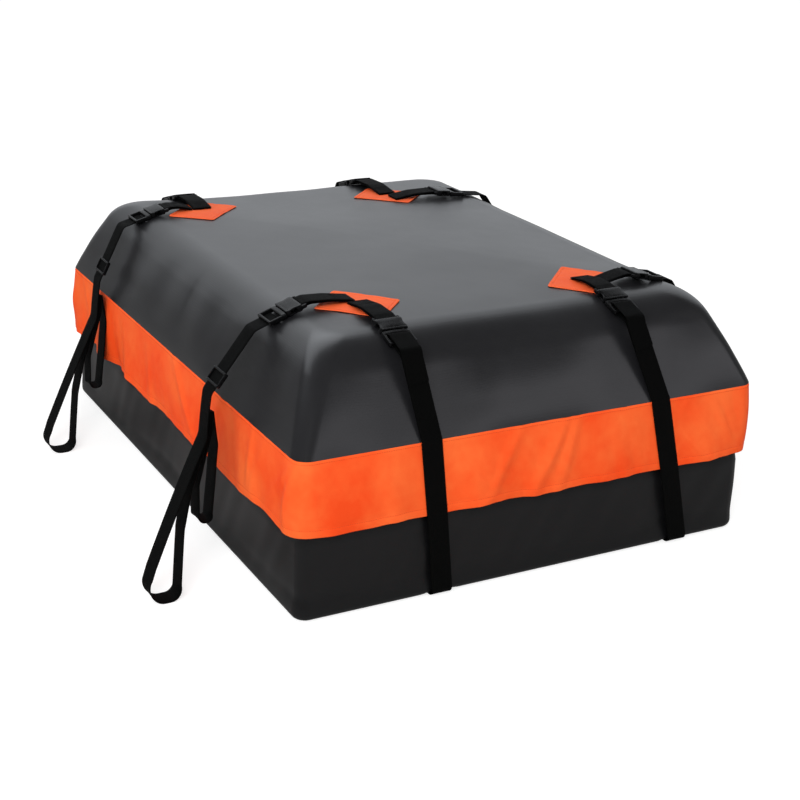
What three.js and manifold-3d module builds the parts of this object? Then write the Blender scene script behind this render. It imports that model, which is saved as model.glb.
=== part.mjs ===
// Soft roof cargo bag: a tarpaulin tub and cover, a storm flap over the zip, and a webbing harness.
// Millimetres, +Z up. X runs across the bag, Y along it, and the front end is at -Y.
import * as THREE from 'three';
import { mergeVertices } from 'three/addons/utils/BufferGeometryUtils.js';
import Module from 'manifold-3d';

const wasm = await Module();
wasm.setup();

// Bag body
const BAG_WIDTH = 900;
const BAG_LENGTH = 1150;
const SEAM_HEIGHT = 285;
const ZIP_HEIGHT = 215;
const SHOULDER_HEIGHT = 440;
const CROWN_RISE = 8;
const SIDE_INSET = 70;
const END_INSET = 92;
const SIDE_ROLL = 80;
const END_ROLL = 105;
const CORNER_RADIUS = 30;
const TOP_CORNER_RADIUS = 44;
const TUB_EDGE_RADIUS = 14;
const TUB_BULGE = 10;

// Storm flap
const FLAP_STAND = 14;
const FLAP_THICKNESS = 3;
const FLAP_DROP = 131;
const FLAP_FLARE = 3;
const HEM_WAVE = 5;
const HEM_WAVE_LENGTH = 155;

// Zip
const TAPE_THICKNESS = 1;
const TAPE_HEIGHT = 28;
const COIL_DEPTH = 3;
const COIL_HEIGHT = 7;
const SLIDER_LENGTH = 14;
const SLIDER_HEIGHT = 11;
const SLIDER_DEPTH = 2.6;
const PULL_LENGTH = 32;
const PULL_WIDTH = 8;

// Harness
const WEB_WIDTH = 38;
const WEB_THICKNESS = 1.6;
const CLEARANCE = 0.4;
const PATCH_LONG_SIDE = 122;
const PATCH_SHORT_SIDE = 98;
const PATCH_THICKNESS = 1.2;
const PATCH_LIFT = 0.5;
const ANCHOR_ARCH = 6;
const END_MOUTH_INSET = 110;
const END_TILT = 18;
const LEAN_DROP = 27;
const LOOP_SWING_RISE = 28;
const SIDE_BEND_INSET = 72;
const UNDER_BEND = 15;
const TACK_WIDTH = 34;

// Side-release buckle and strap slider
const RAIL_WIDTH = 5.2;
const RAIL_GAP = 0.8;
const BUCKLE_HEIGHT = 11.6;
const SHELL_THICKNESS = 2.4;
const LOOP_WINDOW = 8;
const PLUG_LENGTH = 34;
const NOSE_LENGTH = 10;
const PRONG_LENGTH = 18;
const PRONG_SPACE = 4;
const PLUG_TRAVEL = 20;
const BAR_DEPTH = 4;
const GLIDE_LENGTH = 28;
const GLIDE_HEIGHT = 6.4;
const GLIDE_RISE = 28;

// Each corner's own places. patchSide, patchEnd and sideMouth are distances in from the bag's side and end,
// lean is how far the long strap leans towards +X by the floor, and stand how far out the side strap hangs.
// offset is the side strap's distance along Y from its patch, tilt its buckle's angle in degrees, swing how far
// it falls to the front by the floor, and spread how wide its long loop lies, as a share.
const CORNERS = {
  front_left: {
    side: -1, end: -1, patchSide: 220, patchEnd: 243, sideMouth: 92, lean: 48,
    stand: 42, offset: 22, tilt: 20, swing: 88, spread: 1,
  },
  front_right: {
    side: 1, end: -1, patchSide: 243, patchEnd: 218, sideMouth: 130, lean: 100,
    stand: 14, offset: -23, tilt: 10, swing: -40, spread: 0.5,
  },
  back_left: {
    side: -1, end: 1, patchSide: 205, patchEnd: 242, sideMouth: 96, lean: 40,
    stand: 14, offset: 22, tilt: 16, swing: 88, spread: 1,
  },
  back_right: {
    side: 1, end: 1, patchSide: 284, patchEnd: 263, sideMouth: 165, lean: 40,
    stand: 14, offset: -34, tilt: 6, swing: -40, spread: 0.5,
  },
};

const halfWidth = BAG_WIDTH / 2;
const halfLength = BAG_LENGTH / 2;
const wallX = halfWidth - FLAP_STAND;
const wallY = halfLength - FLAP_STAND;
const wallRadius = CORNER_RADIUS - FLAP_STAND;
const flapBottom = SEAM_HEIGHT - FLAP_DROP;
const webHalf = WEB_THICKNESS / 2;
const layerPitch = WEB_THICKNESS + 2 * CLEARANCE;
const railInside = WEB_WIDTH / 2 + RAIL_GAP;
const buckleHalf = railInside + RAIL_WIDTH;
const socketBody = PRONG_LENGTH + PRONG_SPACE + LOOP_WINDOW;
const socketLength = socketBody + LOOP_WINDOW;
const webPlugHeight = 3.2;
const barBottom = webPlugHeight + webHalf;
const barTop = BUCKLE_HEIGHT - SHELL_THICKNESS - 2.2;

const tarpDark = { color: 0x3b3b3f, roughness: 0.55, metalness: 0 };
const tarpTop = { color: 0x55555a, roughness: 0.5, metalness: 0 };
const orangeCloth = { color: 0xfb5a24, roughness: 0.75, metalness: 0 };
const orangePatch = { color: 0xf0693c, roughness: 0.7, metalness: 0 };
const webbing = { color: 0x1c1d1f, roughness: 0.85, metalness: 0 };
const buckleBlack = { color: 0x0d0d0e, roughness: 0.25, metalness: 0 };
const zipBlack = { color: 0x151516, roughness: 0.6, metalness: 0 };
const sliderMetal = { color: 0x2b2b2d, roughness: 0.35, metalness: 0.9 };

const bag = new THREE.Group();

function addPiece(name, geometry, finish) {
  const mesh = new THREE.Mesh(geometry, new THREE.MeshStandardMaterial(finish));
  mesh.name = name;
  bag.add(mesh);
  return mesh;
}

// A closed solid from points and triangles, turned right side out by its signed volume
function closedSolid(points, triangles) {
  const a = new THREE.Vector3();
  let volume = 0;
  for (const [i, j, k] of triangles) {
    a.crossVectors(points[j], points[k]);
    volume += points[i].dot(a);
  }
  const faces = volume < 0 ? triangles.map(([i, j, k]) => [i, k, j]) : triangles;
  const geometry = new THREE.BufferGeometry().setFromPoints(points);
  geometry.setIndex(faces.flat());
  geometry.computeVertexNormals();
  return geometry;
}

function toManifold(geometry) {
  const bare = geometry.clone();
  bare.deleteAttribute('normal');
  bare.deleteAttribute('uv');
  const merged = mergeVertices(bare, 1e-4);
  const vertProperties = new Float32Array(merged.attributes.position.array);
  const triVerts = new Uint32Array(merged.index.array);
  return new wasm.Manifold(new wasm.Mesh({ numProp: 3, vertProperties, triVerts }));
}

function fromManifold(solid) {
  const mesh = solid.getMesh();
  const geometry = new THREE.BufferGeometry();
  geometry.setAttribute('position', new THREE.BufferAttribute(new Float32Array(mesh.vertProperties), 3));
  geometry.setIndex(new THREE.BufferAttribute(new Uint32Array(mesh.triVerts), 1));
  geometry.computeVertexNormals();
  return geometry;
}

function union(geometries) {
  return fromManifold(geometries.map(toManifold).reduce((sum, next) => sum.add(next)));
}

function cut(geometry, tools) {
  const whole = toManifold(geometry);
  return fromManifold(tools.map(toManifold).reduce((rest, tool) => rest.subtract(tool), whole));
}

// A box given by its two corners
function block(x0, x1, y0, y1, z0, z1) {
  const box = new THREE.BoxGeometry(x1 - x0, y1 - y0, z1 - z0);
  return box.translate((x0 + x1) / 2, (y0 + y1) / 2, (z0 + z1) / 2);
}

// The outline of a rounded rectangle as stations, counterclockwise from the +X side, with outward normals.
// sideSteps splits each straight side, for a hem that waves along it.
function outline(a, b, radius, sideSteps = 1, cornerSteps = 6) {
  const stations = [];
  const corners = [[1, 1], [-1, 1], [-1, -1], [1, -1]];
  corners.forEach(([sx, sy], index) => {
    for (let step = 0; step <= cornerSteps; step += 1) {
      const turn = (index + step / cornerSteps) * Math.PI / 2;
      const nx = Math.cos(turn);
      const ny = Math.sin(turn);
      stations.push({ x: sx * (a - radius) + radius * nx, y: sy * (b - radius) + radius * ny, nx, ny });
    }
    const start = stations[stations.length - 1];
    const [ex, ey] = corners[(index + 1) % 4];
    const end = { x: ex * (a - radius) + radius * start.nx, y: ey * (b - radius) + radius * start.ny };
    for (let step = 1; step < sideSteps; step += 1) {
      const t = step / sideSteps;
      const x = start.x + (end.x - start.x) * t;
      const y = start.y + (end.y - start.y) * t;
      stations.push({ x, y, nx: start.nx, ny: start.ny });
    }
  });
  return stations;
}

// A solid through rings of equal point counts, closed by a fan at each end
function loft(rings, lowCentre, highCentre) {
  const count = rings[0].length;
  const points = rings.flat();
  const triangles = [];
  for (let row = 0; row + 1 < rings.length; row += 1) {
    for (let i = 0; i < count; i += 1) {
      const a = row * count + i;
      const b = row * count + (i + 1) % count;
      triangles.push([a, b, b + count], [a, b + count, a + count]);
    }
  }
  const low = points.push(lowCentre) - 1;
  const high = points.push(highCentre) - 1;
  const last = (rings.length - 1) * count;
  for (let i = 0; i < count; i += 1) {
    const next = (i + 1) % count;
    triangles.push([low, next, i], [high, last + i, last + next]);
  }
  return closedSolid(points, triangles);
}

// A section of [outward, z] points carried along stations, as a ring or as a run with flat ends
function carry(stations, section, ring) {
  const points = [];
  stations.forEach((station, index) => {
    for (const [out, z] of section(station, index)) {
      points.push(new THREE.Vector3(station.x + station.nx * out, station.y + station.ny * out, z));
    }
  });
  const count = points.length / stations.length;
  const triangles = [];
  const rows = ring ? stations.length : stations.length - 1;
  for (let row = 0; row < rows; row += 1) {
    const next = (row + 1) % stations.length;
    for (let i = 0; i < count; i += 1) {
      const j = (i + 1) % count;
      const a = row * count + i;
      const b = next * count + i;
      const c = next * count + j;
      const d = row * count + j;
      triangles.push([a, b, c], [a, c, d]);
    }
  }
  if (!ring) {
    const flat = section(stations[0], 0).map(([out, z]) => new THREE.Vector2(out, z));
    const last = (stations.length - 1) * count;
    for (const [i, j, k] of THREE.ShapeUtils.triangulateShape(flat, [])) {
      triangles.push([i, j, k], [last + i, last + k, last + j]);
    }
  }
  return closedSolid(points, triangles);
}

// A path of [h, z] points with each inner corner rounded to its own radius: vertices are [h, z, radius]
function roundedPath(vertices) {
  const at = vertices.map(([h, z]) => new THREE.Vector2(h, z));
  const path = [at[0]];
  for (let i = 1; i + 1 < at.length; i += 1) {
    const before = at[i - 1].clone().sub(at[i]).normalize();
    const after = at[i + 1].clone().sub(at[i]).normalize();
    const turn = Math.PI - Math.acos(THREE.MathUtils.clamp(before.dot(after), -1, 1));
    const radius = vertices[i][2] ?? 0;
    if (radius === 0 || turn < 0.02) {
      path.push(at[i]);
      continue;
    }
    const reach = radius * Math.tan(turn / 2);
    const start = at[i].clone().addScaledVector(before, reach);
    const end = at[i].clone().addScaledVector(after, reach);
    const steps = Math.max(2, Math.ceil(turn / THREE.MathUtils.degToRad(24)));
    const middle = before.clone().add(after).normalize();
    const centre = at[i].clone().addScaledVector(middle, radius / Math.cos(turn / 2));
    const from = start.clone().sub(centre);
    const side = Math.sign(from.x * (end.y - centre.y) - from.y * (end.x - centre.x));
    for (let step = 0; step <= steps; step += 1) {
      const angle = side * turn * step / steps;
      path.push(from.clone().rotateAround(new THREE.Vector2(), angle).add(centre));
    }
  }
  path.push(at[at.length - 1]);
  return path;
}

// Webbing along a path in an upright plane. place turns (h, z, across) into a point of the bag.
function webbingSolid(vertices, place) {
  const path = roundedPath(vertices);
  const points = [];
  path.forEach((point, index) => {
    const back = index > 0 ? point.clone().sub(path[index - 1]).normalize() : null;
    const ahead = index + 1 < path.length ? path[index + 1].clone().sub(point).normalize() : null;
    const first = back ?? ahead;
    const second = ahead ?? back;
    const along = first.clone().add(second).normalize();
    const normal = new THREE.Vector2(-along.y, along.x);
    const mitre = webHalf / Math.max(0.5, along.dot(second));
    for (const [side, across] of [[1, -1], [1, 1], [-1, 1], [-1, -1]]) {
      const h = point.x + normal.x * mitre * side;
      const z = point.y + normal.y * mitre * side;
      points.push(place(h, z, across * WEB_WIDTH / 2));
    }
  });
  const triangles = [[0, 1, 2], [0, 2, 3]];
  for (let row = 0; row + 1 < path.length; row += 1) {
    for (let i = 0; i < 4; i += 1) {
      const j = (i + 1) % 4;
      const a = row * 4 + i;
      const d = row * 4 + j;
      triangles.push([a, d + 4, d], [a, a + 4, d + 4]);
    }
  }
  const last = (path.length - 1) * 4;
  triangles.push([last, last + 2, last + 1], [last, last + 3, last + 2]);
  return closedSolid(points, triangles);
}

// The cover's section over one side: a sloped wall, a rolled shoulder and the crowned top
function shoulder(half, inset, roll) {
  const slope = Math.atan2(SHOULDER_HEIGHT - SEAM_HEIGHT, inset);
  const reach = roll * Math.tan(slope / 2);
  const start = half - inset - reach;
  const steps = 5;
  const profile = [];
  for (let step = 0; step <= steps; step += 1) {
    const angle = slope * (1 - step / steps);
    profile.push([start + roll * Math.sin(angle), SHOULDER_HEIGHT - roll * (1 - Math.cos(angle))]);
  }
  return { half, slope, start, roll, profile };
}

const sideShoulder = shoulder(halfWidth, SIDE_INSET, SIDE_ROLL);
const endShoulder = shoulder(halfLength, END_INSET, END_ROLL);

// Height of the crowned top at a point inside the shoulders
function topHeight(x, y) {
  const share = Math.min(1, Math.max(Math.abs(x) / sideShoulder.start, Math.abs(y) / endShoulder.start));
  return SHOULDER_HEIGHT + CROWN_RISE * (1 - share * share);
}

// The bag's shells
function ringAt(a, b, radius, z) {
  return outline(a, b, radius).map((s) => new THREE.Vector3(s.x, s.y, z));
}

function makeTub() {
  const rings = [];
  const steps = 4;
  for (let step = 0; step <= steps; step += 1) {
    const angle = (step / steps) * Math.PI / 2;
    const inset = TUB_EDGE_RADIUS * (1 - Math.sin(angle)) - TUB_BULGE;
    const rise = TUB_EDGE_RADIUS * (1 - Math.cos(angle));
    const radius = Math.max(wallRadius - inset, 8);
    rings.push(ringAt(wallX - inset, wallY - inset, radius, rise));
  }
  const bulged = [wallX + TUB_BULGE, wallY + TUB_BULGE, wallRadius + TUB_BULGE];
  rings.push(ringAt(...bulged, flapBottom - 20));
  rings.push(ringAt(wallX, wallY, wallRadius, ZIP_HEIGHT - TAPE_HEIGHT));
  rings.push(ringAt(wallX, wallY, wallRadius, ZIP_HEIGHT));
  const tub = loft(rings, new THREE.Vector3(0, 0, 0), new THREE.Vector3(0, 0, ZIP_HEIGHT));
  return cut(tub, [strapGroove('left'), strapGroove('right')]);
}

// The long strap's groove under the tub, straight from its front place on the floor to its back one
function strapGroove(word) {
  const reach = WEB_WIDTH / 2 + 3;
  const top = WEB_THICKNESS + 0.7;
  const points = [];
  for (const end of [-1, 1]) {
    const y = end * halfLength;
    const x = longStrapX(cornerOf(word, end), 0);
    for (const [across, z] of [[-reach, -1], [reach, -1], [reach, top], [-reach, top]]) {
      points.push(new THREE.Vector3(x + across, y, z));
    }
  }
  const sides = [0, 1, 2, 3].flatMap((i) => {
    const j = (i + 1) % 4;
    return [[i, j, j + 4], [i, j + 4, i + 4]];
  });
  return closedSolid(points, [[0, 2, 1], [0, 3, 2], [4, 5, 6], [4, 6, 7], ...sides]);
}

function makeCover() {
  const rings = [];
  rings.push(ringAt(wallX, wallY, wallRadius, ZIP_HEIGHT));
  rings.push(ringAt(wallX, wallY, wallRadius, SEAM_HEIGHT));
  rings.push(ringAt(halfWidth, halfLength, CORNER_RADIUS, SEAM_HEIGHT));
  const count = sideShoulder.profile.length;
  for (let row = 0; row < count; row += 1) {
    const [a, sideZ] = sideShoulder.profile[row];
    const [b, endZ] = endShoulder.profile[row];
    const share = row / (count - 1);
    const radius = CORNER_RADIUS + (TOP_CORNER_RADIUS - CORNER_RADIUS) * share;
    rings.push(outline(a, b, radius).map((s) => {
      const z = sideZ * s.nx * s.nx + endZ * s.ny * s.ny;
      return new THREE.Vector3(s.x, s.y, z);
    }));
  }
  for (const share of [0.88, 0.75, 0.6, 0.4, 0.2]) {
    const z = SHOULDER_HEIGHT + CROWN_RISE * (1 - share * share);
    rings.push(ringAt(sideShoulder.start * share, endShoulder.start * share, TOP_CORNER_RADIUS * share, z));
  }
  const centre = new THREE.Vector3(0, 0, SHOULDER_HEIGHT + CROWN_RISE);
  return loft(rings, new THREE.Vector3(0, 0, ZIP_HEIGHT), centre);
}

// How far the hem may wave: it is held still where a strap presses on it and at the bag's corners
function hemFreedom(x, y) {
  const onEnd = Math.abs(y) > halfLength - CORNER_RADIUS;
  if (!onEnd) return 1;
  const near = Object.values(CORNERS).filter((corner) => corner.end * y > 0);
  const strapGap = Math.min(...near.map((corner) => Math.abs(x - longStrapX(corner, flapBottom))));
  return THREE.MathUtils.smoothstep(strapGap, WEB_WIDTH / 2 + 14, WEB_WIDTH / 2 + 75);
}

function makeFlap() {
  const stations = outline(halfWidth, halfLength, CORNER_RADIUS, 16, 6);
  const gap = 0.3;
  return carry(stations, (s) => {
    const along = Math.abs(s.nx) > Math.abs(s.ny) ? s.y : s.x;
    const phase = 2 * Math.PI * along / HEM_WAVE_LENGTH;
    const wave = 0.5 + 0.5 * Math.sin(phase + 1.3 * Math.sin(phase * 0.37));
    const flare = FLAP_FLARE + HEM_WAVE * wave * hemFreedom(s.x, s.y);
    const lift = 0.6 * HEM_WAVE * wave * hemFreedom(s.x, s.y);
    const middle = (SEAM_HEIGHT + flapBottom) / 2;
    return [
      [flare, flapBottom + lift],
      [flare * 0.45, middle],
      [0, SEAM_HEIGHT - gap],
      [-FLAP_THICKNESS, SEAM_HEIGHT - gap],
      [flare * 0.45 - FLAP_THICKNESS, middle],
      [flare - FLAP_THICKNESS, flapBottom + lift],
    ];
  }, true);
}

// The zip runs along the left side, the front end and the right side, under the flap
function makeZipChain() {
  const all = outline(wallX, wallY, wallRadius, 1, 6);
  const run = all.filter((s) => s.y < 0);
  const leftEnd = { x: -wallX, y: wallY - CORNER_RADIUS, nx: -1, ny: 0 };
  const rightEnd = { x: wallX, y: wallY - CORNER_RADIUS, nx: 1, ny: 0 };
  const inner = 0.3;
  const face = inner + TAPE_THICKNESS;
  const section = [
    [inner, ZIP_HEIGHT - TAPE_HEIGHT / 2],
    [face, ZIP_HEIGHT - TAPE_HEIGHT / 2],
    [face, ZIP_HEIGHT - COIL_HEIGHT / 2],
    [COIL_DEPTH, ZIP_HEIGHT - COIL_HEIGHT / 4],
    [COIL_DEPTH, ZIP_HEIGHT + COIL_HEIGHT / 4],
    [face, ZIP_HEIGHT + COIL_HEIGHT / 2],
    [face, ZIP_HEIGHT + TAPE_HEIGHT / 2],
    [inner, ZIP_HEIGHT + TAPE_HEIGHT / 2],
  ];
  return carry([leftEnd, ...run, rightEnd], () => section, false);
}

// A slider saddles the coil at the middle of the front end; its pull hangs over it
function makeZipSlider(side) {
  const x = side * (SLIDER_LENGTH / 2 + 1);
  const inner = -wallY - COIL_DEPTH - CLEARANCE;
  const outer = inner - SLIDER_DEPTH;
  const half = SLIDER_LENGTH / 2;
  const rise = SLIDER_HEIGHT / 2;
  const plate = block(x - half, x + half, outer, inner, ZIP_HEIGHT - rise, ZIP_HEIGHT + rise);
  const lipInner = -wallY - TAPE_THICKNESS - 0.3 - CLEARANCE;
  const lips = [-1, 1].map((end) => {
    const low = ZIP_HEIGHT + end * rise - (end > 0 ? 1.2 : 0);
    return block(x - half, x + half, outer, lipInner, low, low + 1.2);
  });
  return union([plate, ...lips]);
}

function makeZipPull(side) {
  const x = side * (SLIDER_LENGTH / 2 + 1);
  const inner = -wallY - COIL_DEPTH - CLEARANCE - SLIDER_DEPTH - 0.3;
  const shape = new THREE.Shape();
  const half = PULL_WIDTH / 2;
  shape.moveTo(-half, half);
  shape.absarc(0, -PULL_LENGTH + half, half, Math.PI, 2 * Math.PI, false);
  shape.lineTo(half, half);
  shape.closePath();
  const tab = new THREE.ExtrudeGeometry(shape, { depth: 1.4, bevelEnabled: false, curveSegments: 6 });
  tab.rotateX(Math.PI / 2);
  return tab.translate(x, inner, ZIP_HEIGHT);
}

// Straps lean sideways as they go down, as they hang in use
function cornerOf(word, end) {
  return CORNERS[`${end < 0 ? 'front' : 'back'}_${word}`];
}

function patchX(corner) {
  return corner.side * (halfWidth - corner.patchSide);
}

function patchY(corner) {
  return corner.end * (halfLength - corner.patchEnd);
}

function longStrapX(corner, z) {
  return patchX(corner) + corner.lean * Math.max(0, 1 - z / (SHOULDER_HEIGHT - LEAN_DROP));
}

function sideStrapY(corner, z) {
  const fall = Math.max(0, 1 - z / (SEAM_HEIGHT + LOOP_SWING_RISE));
  return patchY(corner) + corner.offset - corner.swing * Math.pow(fall, 1.4);
}

// The two kinds of strap line. reach is the outward distance h, and place puts (h, z, across) on the bag.
function endLine(corner) {
  const place = (h, z, across) => new THREE.Vector3(longStrapX(corner, z) + across, corner.end * h, z);
  const mouth = halfLength - END_MOUTH_INSET;
  const sewn = Math.abs(patchY(corner)) + 4;
  return { place, section: endShoulder, mouth, tilt: END_TILT, sewn, middle: patchX(corner) };
}

function sideLine(corner) {
  const place = (h, z, across) => new THREE.Vector3(corner.side * h, sideStrapY(corner, z) + across, z);
  const mouth = halfWidth - corner.sideMouth;
  const middle = sideStrapY(corner, SHOULDER_HEIGHT);
  const sewn = Math.abs(patchX(corner)) + WEB_WIDTH / 2 + 3;
  const hang = halfWidth + corner.stand;
  const { tilt, spread } = corner;
  return { place, section: sideShoulder, mouth, tilt, sewn, middle, hang, spread };
}

// The buckle's own axes on a line: u runs outward along the webbing and w stands off the cover
function buckleFrame(line) {
  const tilt = THREE.MathUtils.degToRad(line.tilt);
  const touchH = line.section.start + line.section.roll * Math.sin(tilt);
  const touchZ = SHOULDER_HEIGHT - line.section.roll * (1 - Math.cos(tilt));
  const z = touchZ - (line.mouth - touchH) * Math.tan(tilt) + 0.5;
  return (u, w) => {
    const h = line.mouth + u * Math.cos(tilt) + w * Math.sin(tilt);
    return [h, z - u * Math.sin(tilt) + w * Math.cos(tilt)];
  };
}

// Both layers of an anchor strap, sewn on the patch and folded round the socket's bar
function makeAnchor(line) {
  const frame = buckleFrame(line);
  const edge = WEB_WIDTH / 2;
  const inward = Math.abs(line.middle) - edge;
  const crown = line.section === endShoulder ? topHeight(inward, line.sewn) : topHeight(line.sewn, inward);
  const low = crown + PATCH_LIFT + PATCH_THICKNESS + CLEARANCE + webHalf;
  const turn = -socketLength + BAR_DEPTH + CLEARANCE + webHalf;
  const under = barBottom - CLEARANCE - webHalf;
  const over = barTop + CLEARANCE + webHalf;
  const leave = -socketLength - 8;
  const middle = (line.sewn + frame(leave, under)[0]) / 2 + 4;
  const vertices = [
    [line.sewn, low],
    [middle, low + ANCHOR_ARCH, 60],
    [...frame(leave, under), 20],
    [...frame(turn, under), 1.4],
    [...frame(turn, over), 1.4],
    [...frame(leave, over - 1), 20],
    [middle, low + ANCHOR_ARCH + layerPitch + 0.6, 60],
    [line.sewn, low + layerPitch],
  ];
  return webbingSolid(vertices, line.place);
}

// A solid drawn in (u, across, w) and laid on the bag by a function of the three
function laid(geometry, put) {
  const position = geometry.attributes.position;
  const points = [];
  for (let i = 0; i < position.count; i += 1) {
    points.push(put(position.getX(i), position.getY(i), position.getZ(i)));
  }
  const index = geometry.index.array;
  const triangles = [];
  for (let i = 0; i < index.length; i += 3) {
    triangles.push([index[i], index[i + 1], index[i + 2]]);
  }
  return closedSolid(points, triangles);
}

function layOnLine(geometry, line) {
  const frame = buckleFrame(line);
  return laid(geometry, (u, across, w) => {
    const [h, z] = frame(u, w);
    return line.place(h, SHOULDER_HEIGHT, across).setZ(z);
  });
}

// A plate with rounded corners between two heights
function roundedPlate(u0, u1, halfV, radius, w0, w1) {
  const shape = new THREE.Shape();
  shape.moveTo(u0 + radius, -halfV);
  shape.absarc(u1 - radius, -halfV + radius, radius, -Math.PI / 2, 0, false);
  shape.absarc(u1 - radius, halfV - radius, radius, 0, Math.PI / 2, false);
  shape.absarc(u0 + radius, halfV - radius, radius, Math.PI / 2, Math.PI, false);
  shape.absarc(u0 + radius, -halfV + radius, radius, Math.PI, 1.5 * Math.PI, false);
  const plate = new THREE.ExtrudeGeometry(shape, { depth: w1 - w0, bevelEnabled: false, curveSegments: 3 });
  return plate.translate(0, 0, w0);
}

function makeSocket() {
  const ceiling = BUCKLE_HEIGHT - SHELL_THICKNESS;
  const body = roundedPlate(-socketBody, -0.5, buckleHalf, 4, 0.4, BUCKLE_HEIGHT);
  const cavity = block(-PRONG_LENGTH - PRONG_SPACE, 1, -railInside, railInside, barBottom - 0.6, ceiling);
  const windows = [-1, 1].map((side) => {
    const low = side > 0 ? railInside - 3 : -buckleHalf - 1;
    const high = low + RAIL_WIDTH + 4;
    return block(-PRONG_LENGTH - 1, -PRONG_LENGTH / 2, low, high, 2.2, ceiling + 1);
  });
  const rails = [-1, 1].map((side) => {
    const low = side > 0 ? railInside : -buckleHalf;
    return block(-socketLength, -socketBody + 1, low, low + RAIL_WIDTH, 2.4, ceiling - 0.6);
  });
  const barEnd = -socketLength + BAR_DEPTH;
  const bar = block(-socketLength, barEnd, -railInside - 1, railInside + 1, barBottom, barTop);
  return union([cut(body, [cavity, ...windows]), ...rails, bar]);
}

function makePlug() {
  const over = webPlugHeight + webHalf + CLEARANCE;
  const under = webPlugHeight - webHalf - CLEARANCE;
  const top = BUCKLE_HEIGHT - SHELL_THICKNESS + 0.2;
  const prongTop = BUCKLE_HEIGHT - SHELL_THICKNESS - 1.2;
  const frame = roundedPlate(0, PLUG_LENGTH, buckleHalf, 4, 0.6, top);
  const tunnel = block(-1, PLUG_LENGTH + 1, -railInside, railInside, 0, over);
  const window = block(NOSE_LENGTH, PLUG_LENGTH - BAR_DEPTH - 1, -railInside, railInside, 0, top + 1);
  const middle = (NOSE_LENGTH + PLUG_LENGTH - BAR_DEPTH) / 2;
  const centreBar = block(middle, middle + BAR_DEPTH, -railInside - 1, railInside + 1, 0.6, under);
  const tongue = block(-PRONG_LENGTH + 1, 1, -4, 4, over + CLEARANCE, prongTop);
  const armWidth = 6;
  const hookWidth = 6.6;
  const arms = [-1, 1].flatMap((side) => {
    const low = side > 0 ? railInside - 2.8 - armWidth : 2.8 - railInside;
    const hook = side > 0 ? railInside - 1.2 - hookWidth : 1.2 - railInside;
    return [
      block(-PRONG_LENGTH, 1, low, low + armWidth, over + CLEARANCE, prongTop),
      block(-PRONG_LENGTH, -PRONG_LENGTH + 6, hook, hook + hookWidth, over + CLEARANCE, prongTop),
    ];
  });
  return union([cut(frame, [tunnel, window]), centreBar, tongue, ...arms]);
}

// Side strap: through the plug, over the shoulder, through the strap slider, then down into its two loops.
// Its layers meet at a sewn tack just under the seam's height, and it stands off the flap as it hangs.
const webStart = NOSE_LENGTH + 3;

function sideStrapRun(line) {
  const frame = buckleFrame(line);
  const shoulderAt = (halfWidth - SIDE_BEND_INSET - line.mouth) / Math.cos(THREE.MathUtils.degToRad(line.tilt));
  const bendAt = Math.max(shoulderAt, PLUG_LENGTH + PLUG_TRAVEL + 5);
  const end = [line.hang, SEAM_HEIGHT + 33];
  return { first: frame(webStart, webPlugHeight), bend: frame(bendAt, webPlugHeight), end };
}

function makeSideStrap(line) {
  const { first, bend, end } = sideStrapRun(line);
  const [hang] = end;
  const layers = [1, 2, 3].map((layer) => hang + 5.2 - layer * (layerPitch + 0.2));
  const layerTop = SEAM_HEIGHT + 1;
  const longLoop = [
    first,
    [...bend, 14],
    [...end, 18],
    [hang + 13, SEAM_HEIGHT - 41, 40],
    [hang + 64 + 64 * line.spread, 52, 60],
    [hang + 82 + 72 * line.spread, webHalf, 22],
    [hang + 40 + 52 * line.spread, webHalf, 20],
    [hang + 42 + 28 * line.spread, 105, 80],
    [hang + 36 + 12 * line.spread, 168, 60],
    [hang + 7, SEAM_HEIGHT - 32, 40],
    [layers[0], layerTop],
  ];
  const smallLoop = [
    [layers[1], layerTop],
    [hang + 3.6, SEAM_HEIGHT - 32, 40],
    [hang + 35, 172, 60],
    [hang + 42, 112, 9],
    [hang + 21, 112, 9],
    [hang + 7, 172, 60],
    [hang - 5, SEAM_HEIGHT - 52, 40],
    [layers[2], layerTop],
  ];
  const tackShape = [
    [layers[2] - 0.2, SEAM_HEIGHT - 1.5],
    [layers[0] + 3.6, SEAM_HEIGHT - 1.5],
    [layers[0] + 5.8, SEAM_HEIGHT - 12],
    [layers[2] + 0.6, SEAM_HEIGHT - 12],
  ];
  const tackHalf = TACK_WIDTH / 2;
  const corners = tackShape.flatMap(([h, z]) => [line.place(h, z, -tackHalf), line.place(h, z, tackHalf)]);
  const tackFaces = [
    [0, 2, 4], [0, 4, 6], [1, 5, 3], [1, 7, 5],
    [0, 1, 3], [0, 3, 2], [2, 3, 5], [2, 5, 4],
    [4, 5, 7], [4, 7, 6], [6, 7, 1], [6, 1, 0],
  ];
  const tack = closedSolid(corners, tackFaces);
  return union([webbingSolid(longLoop, line.place), webbingSolid(smallLoop, line.place), tack]);
}

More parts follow.
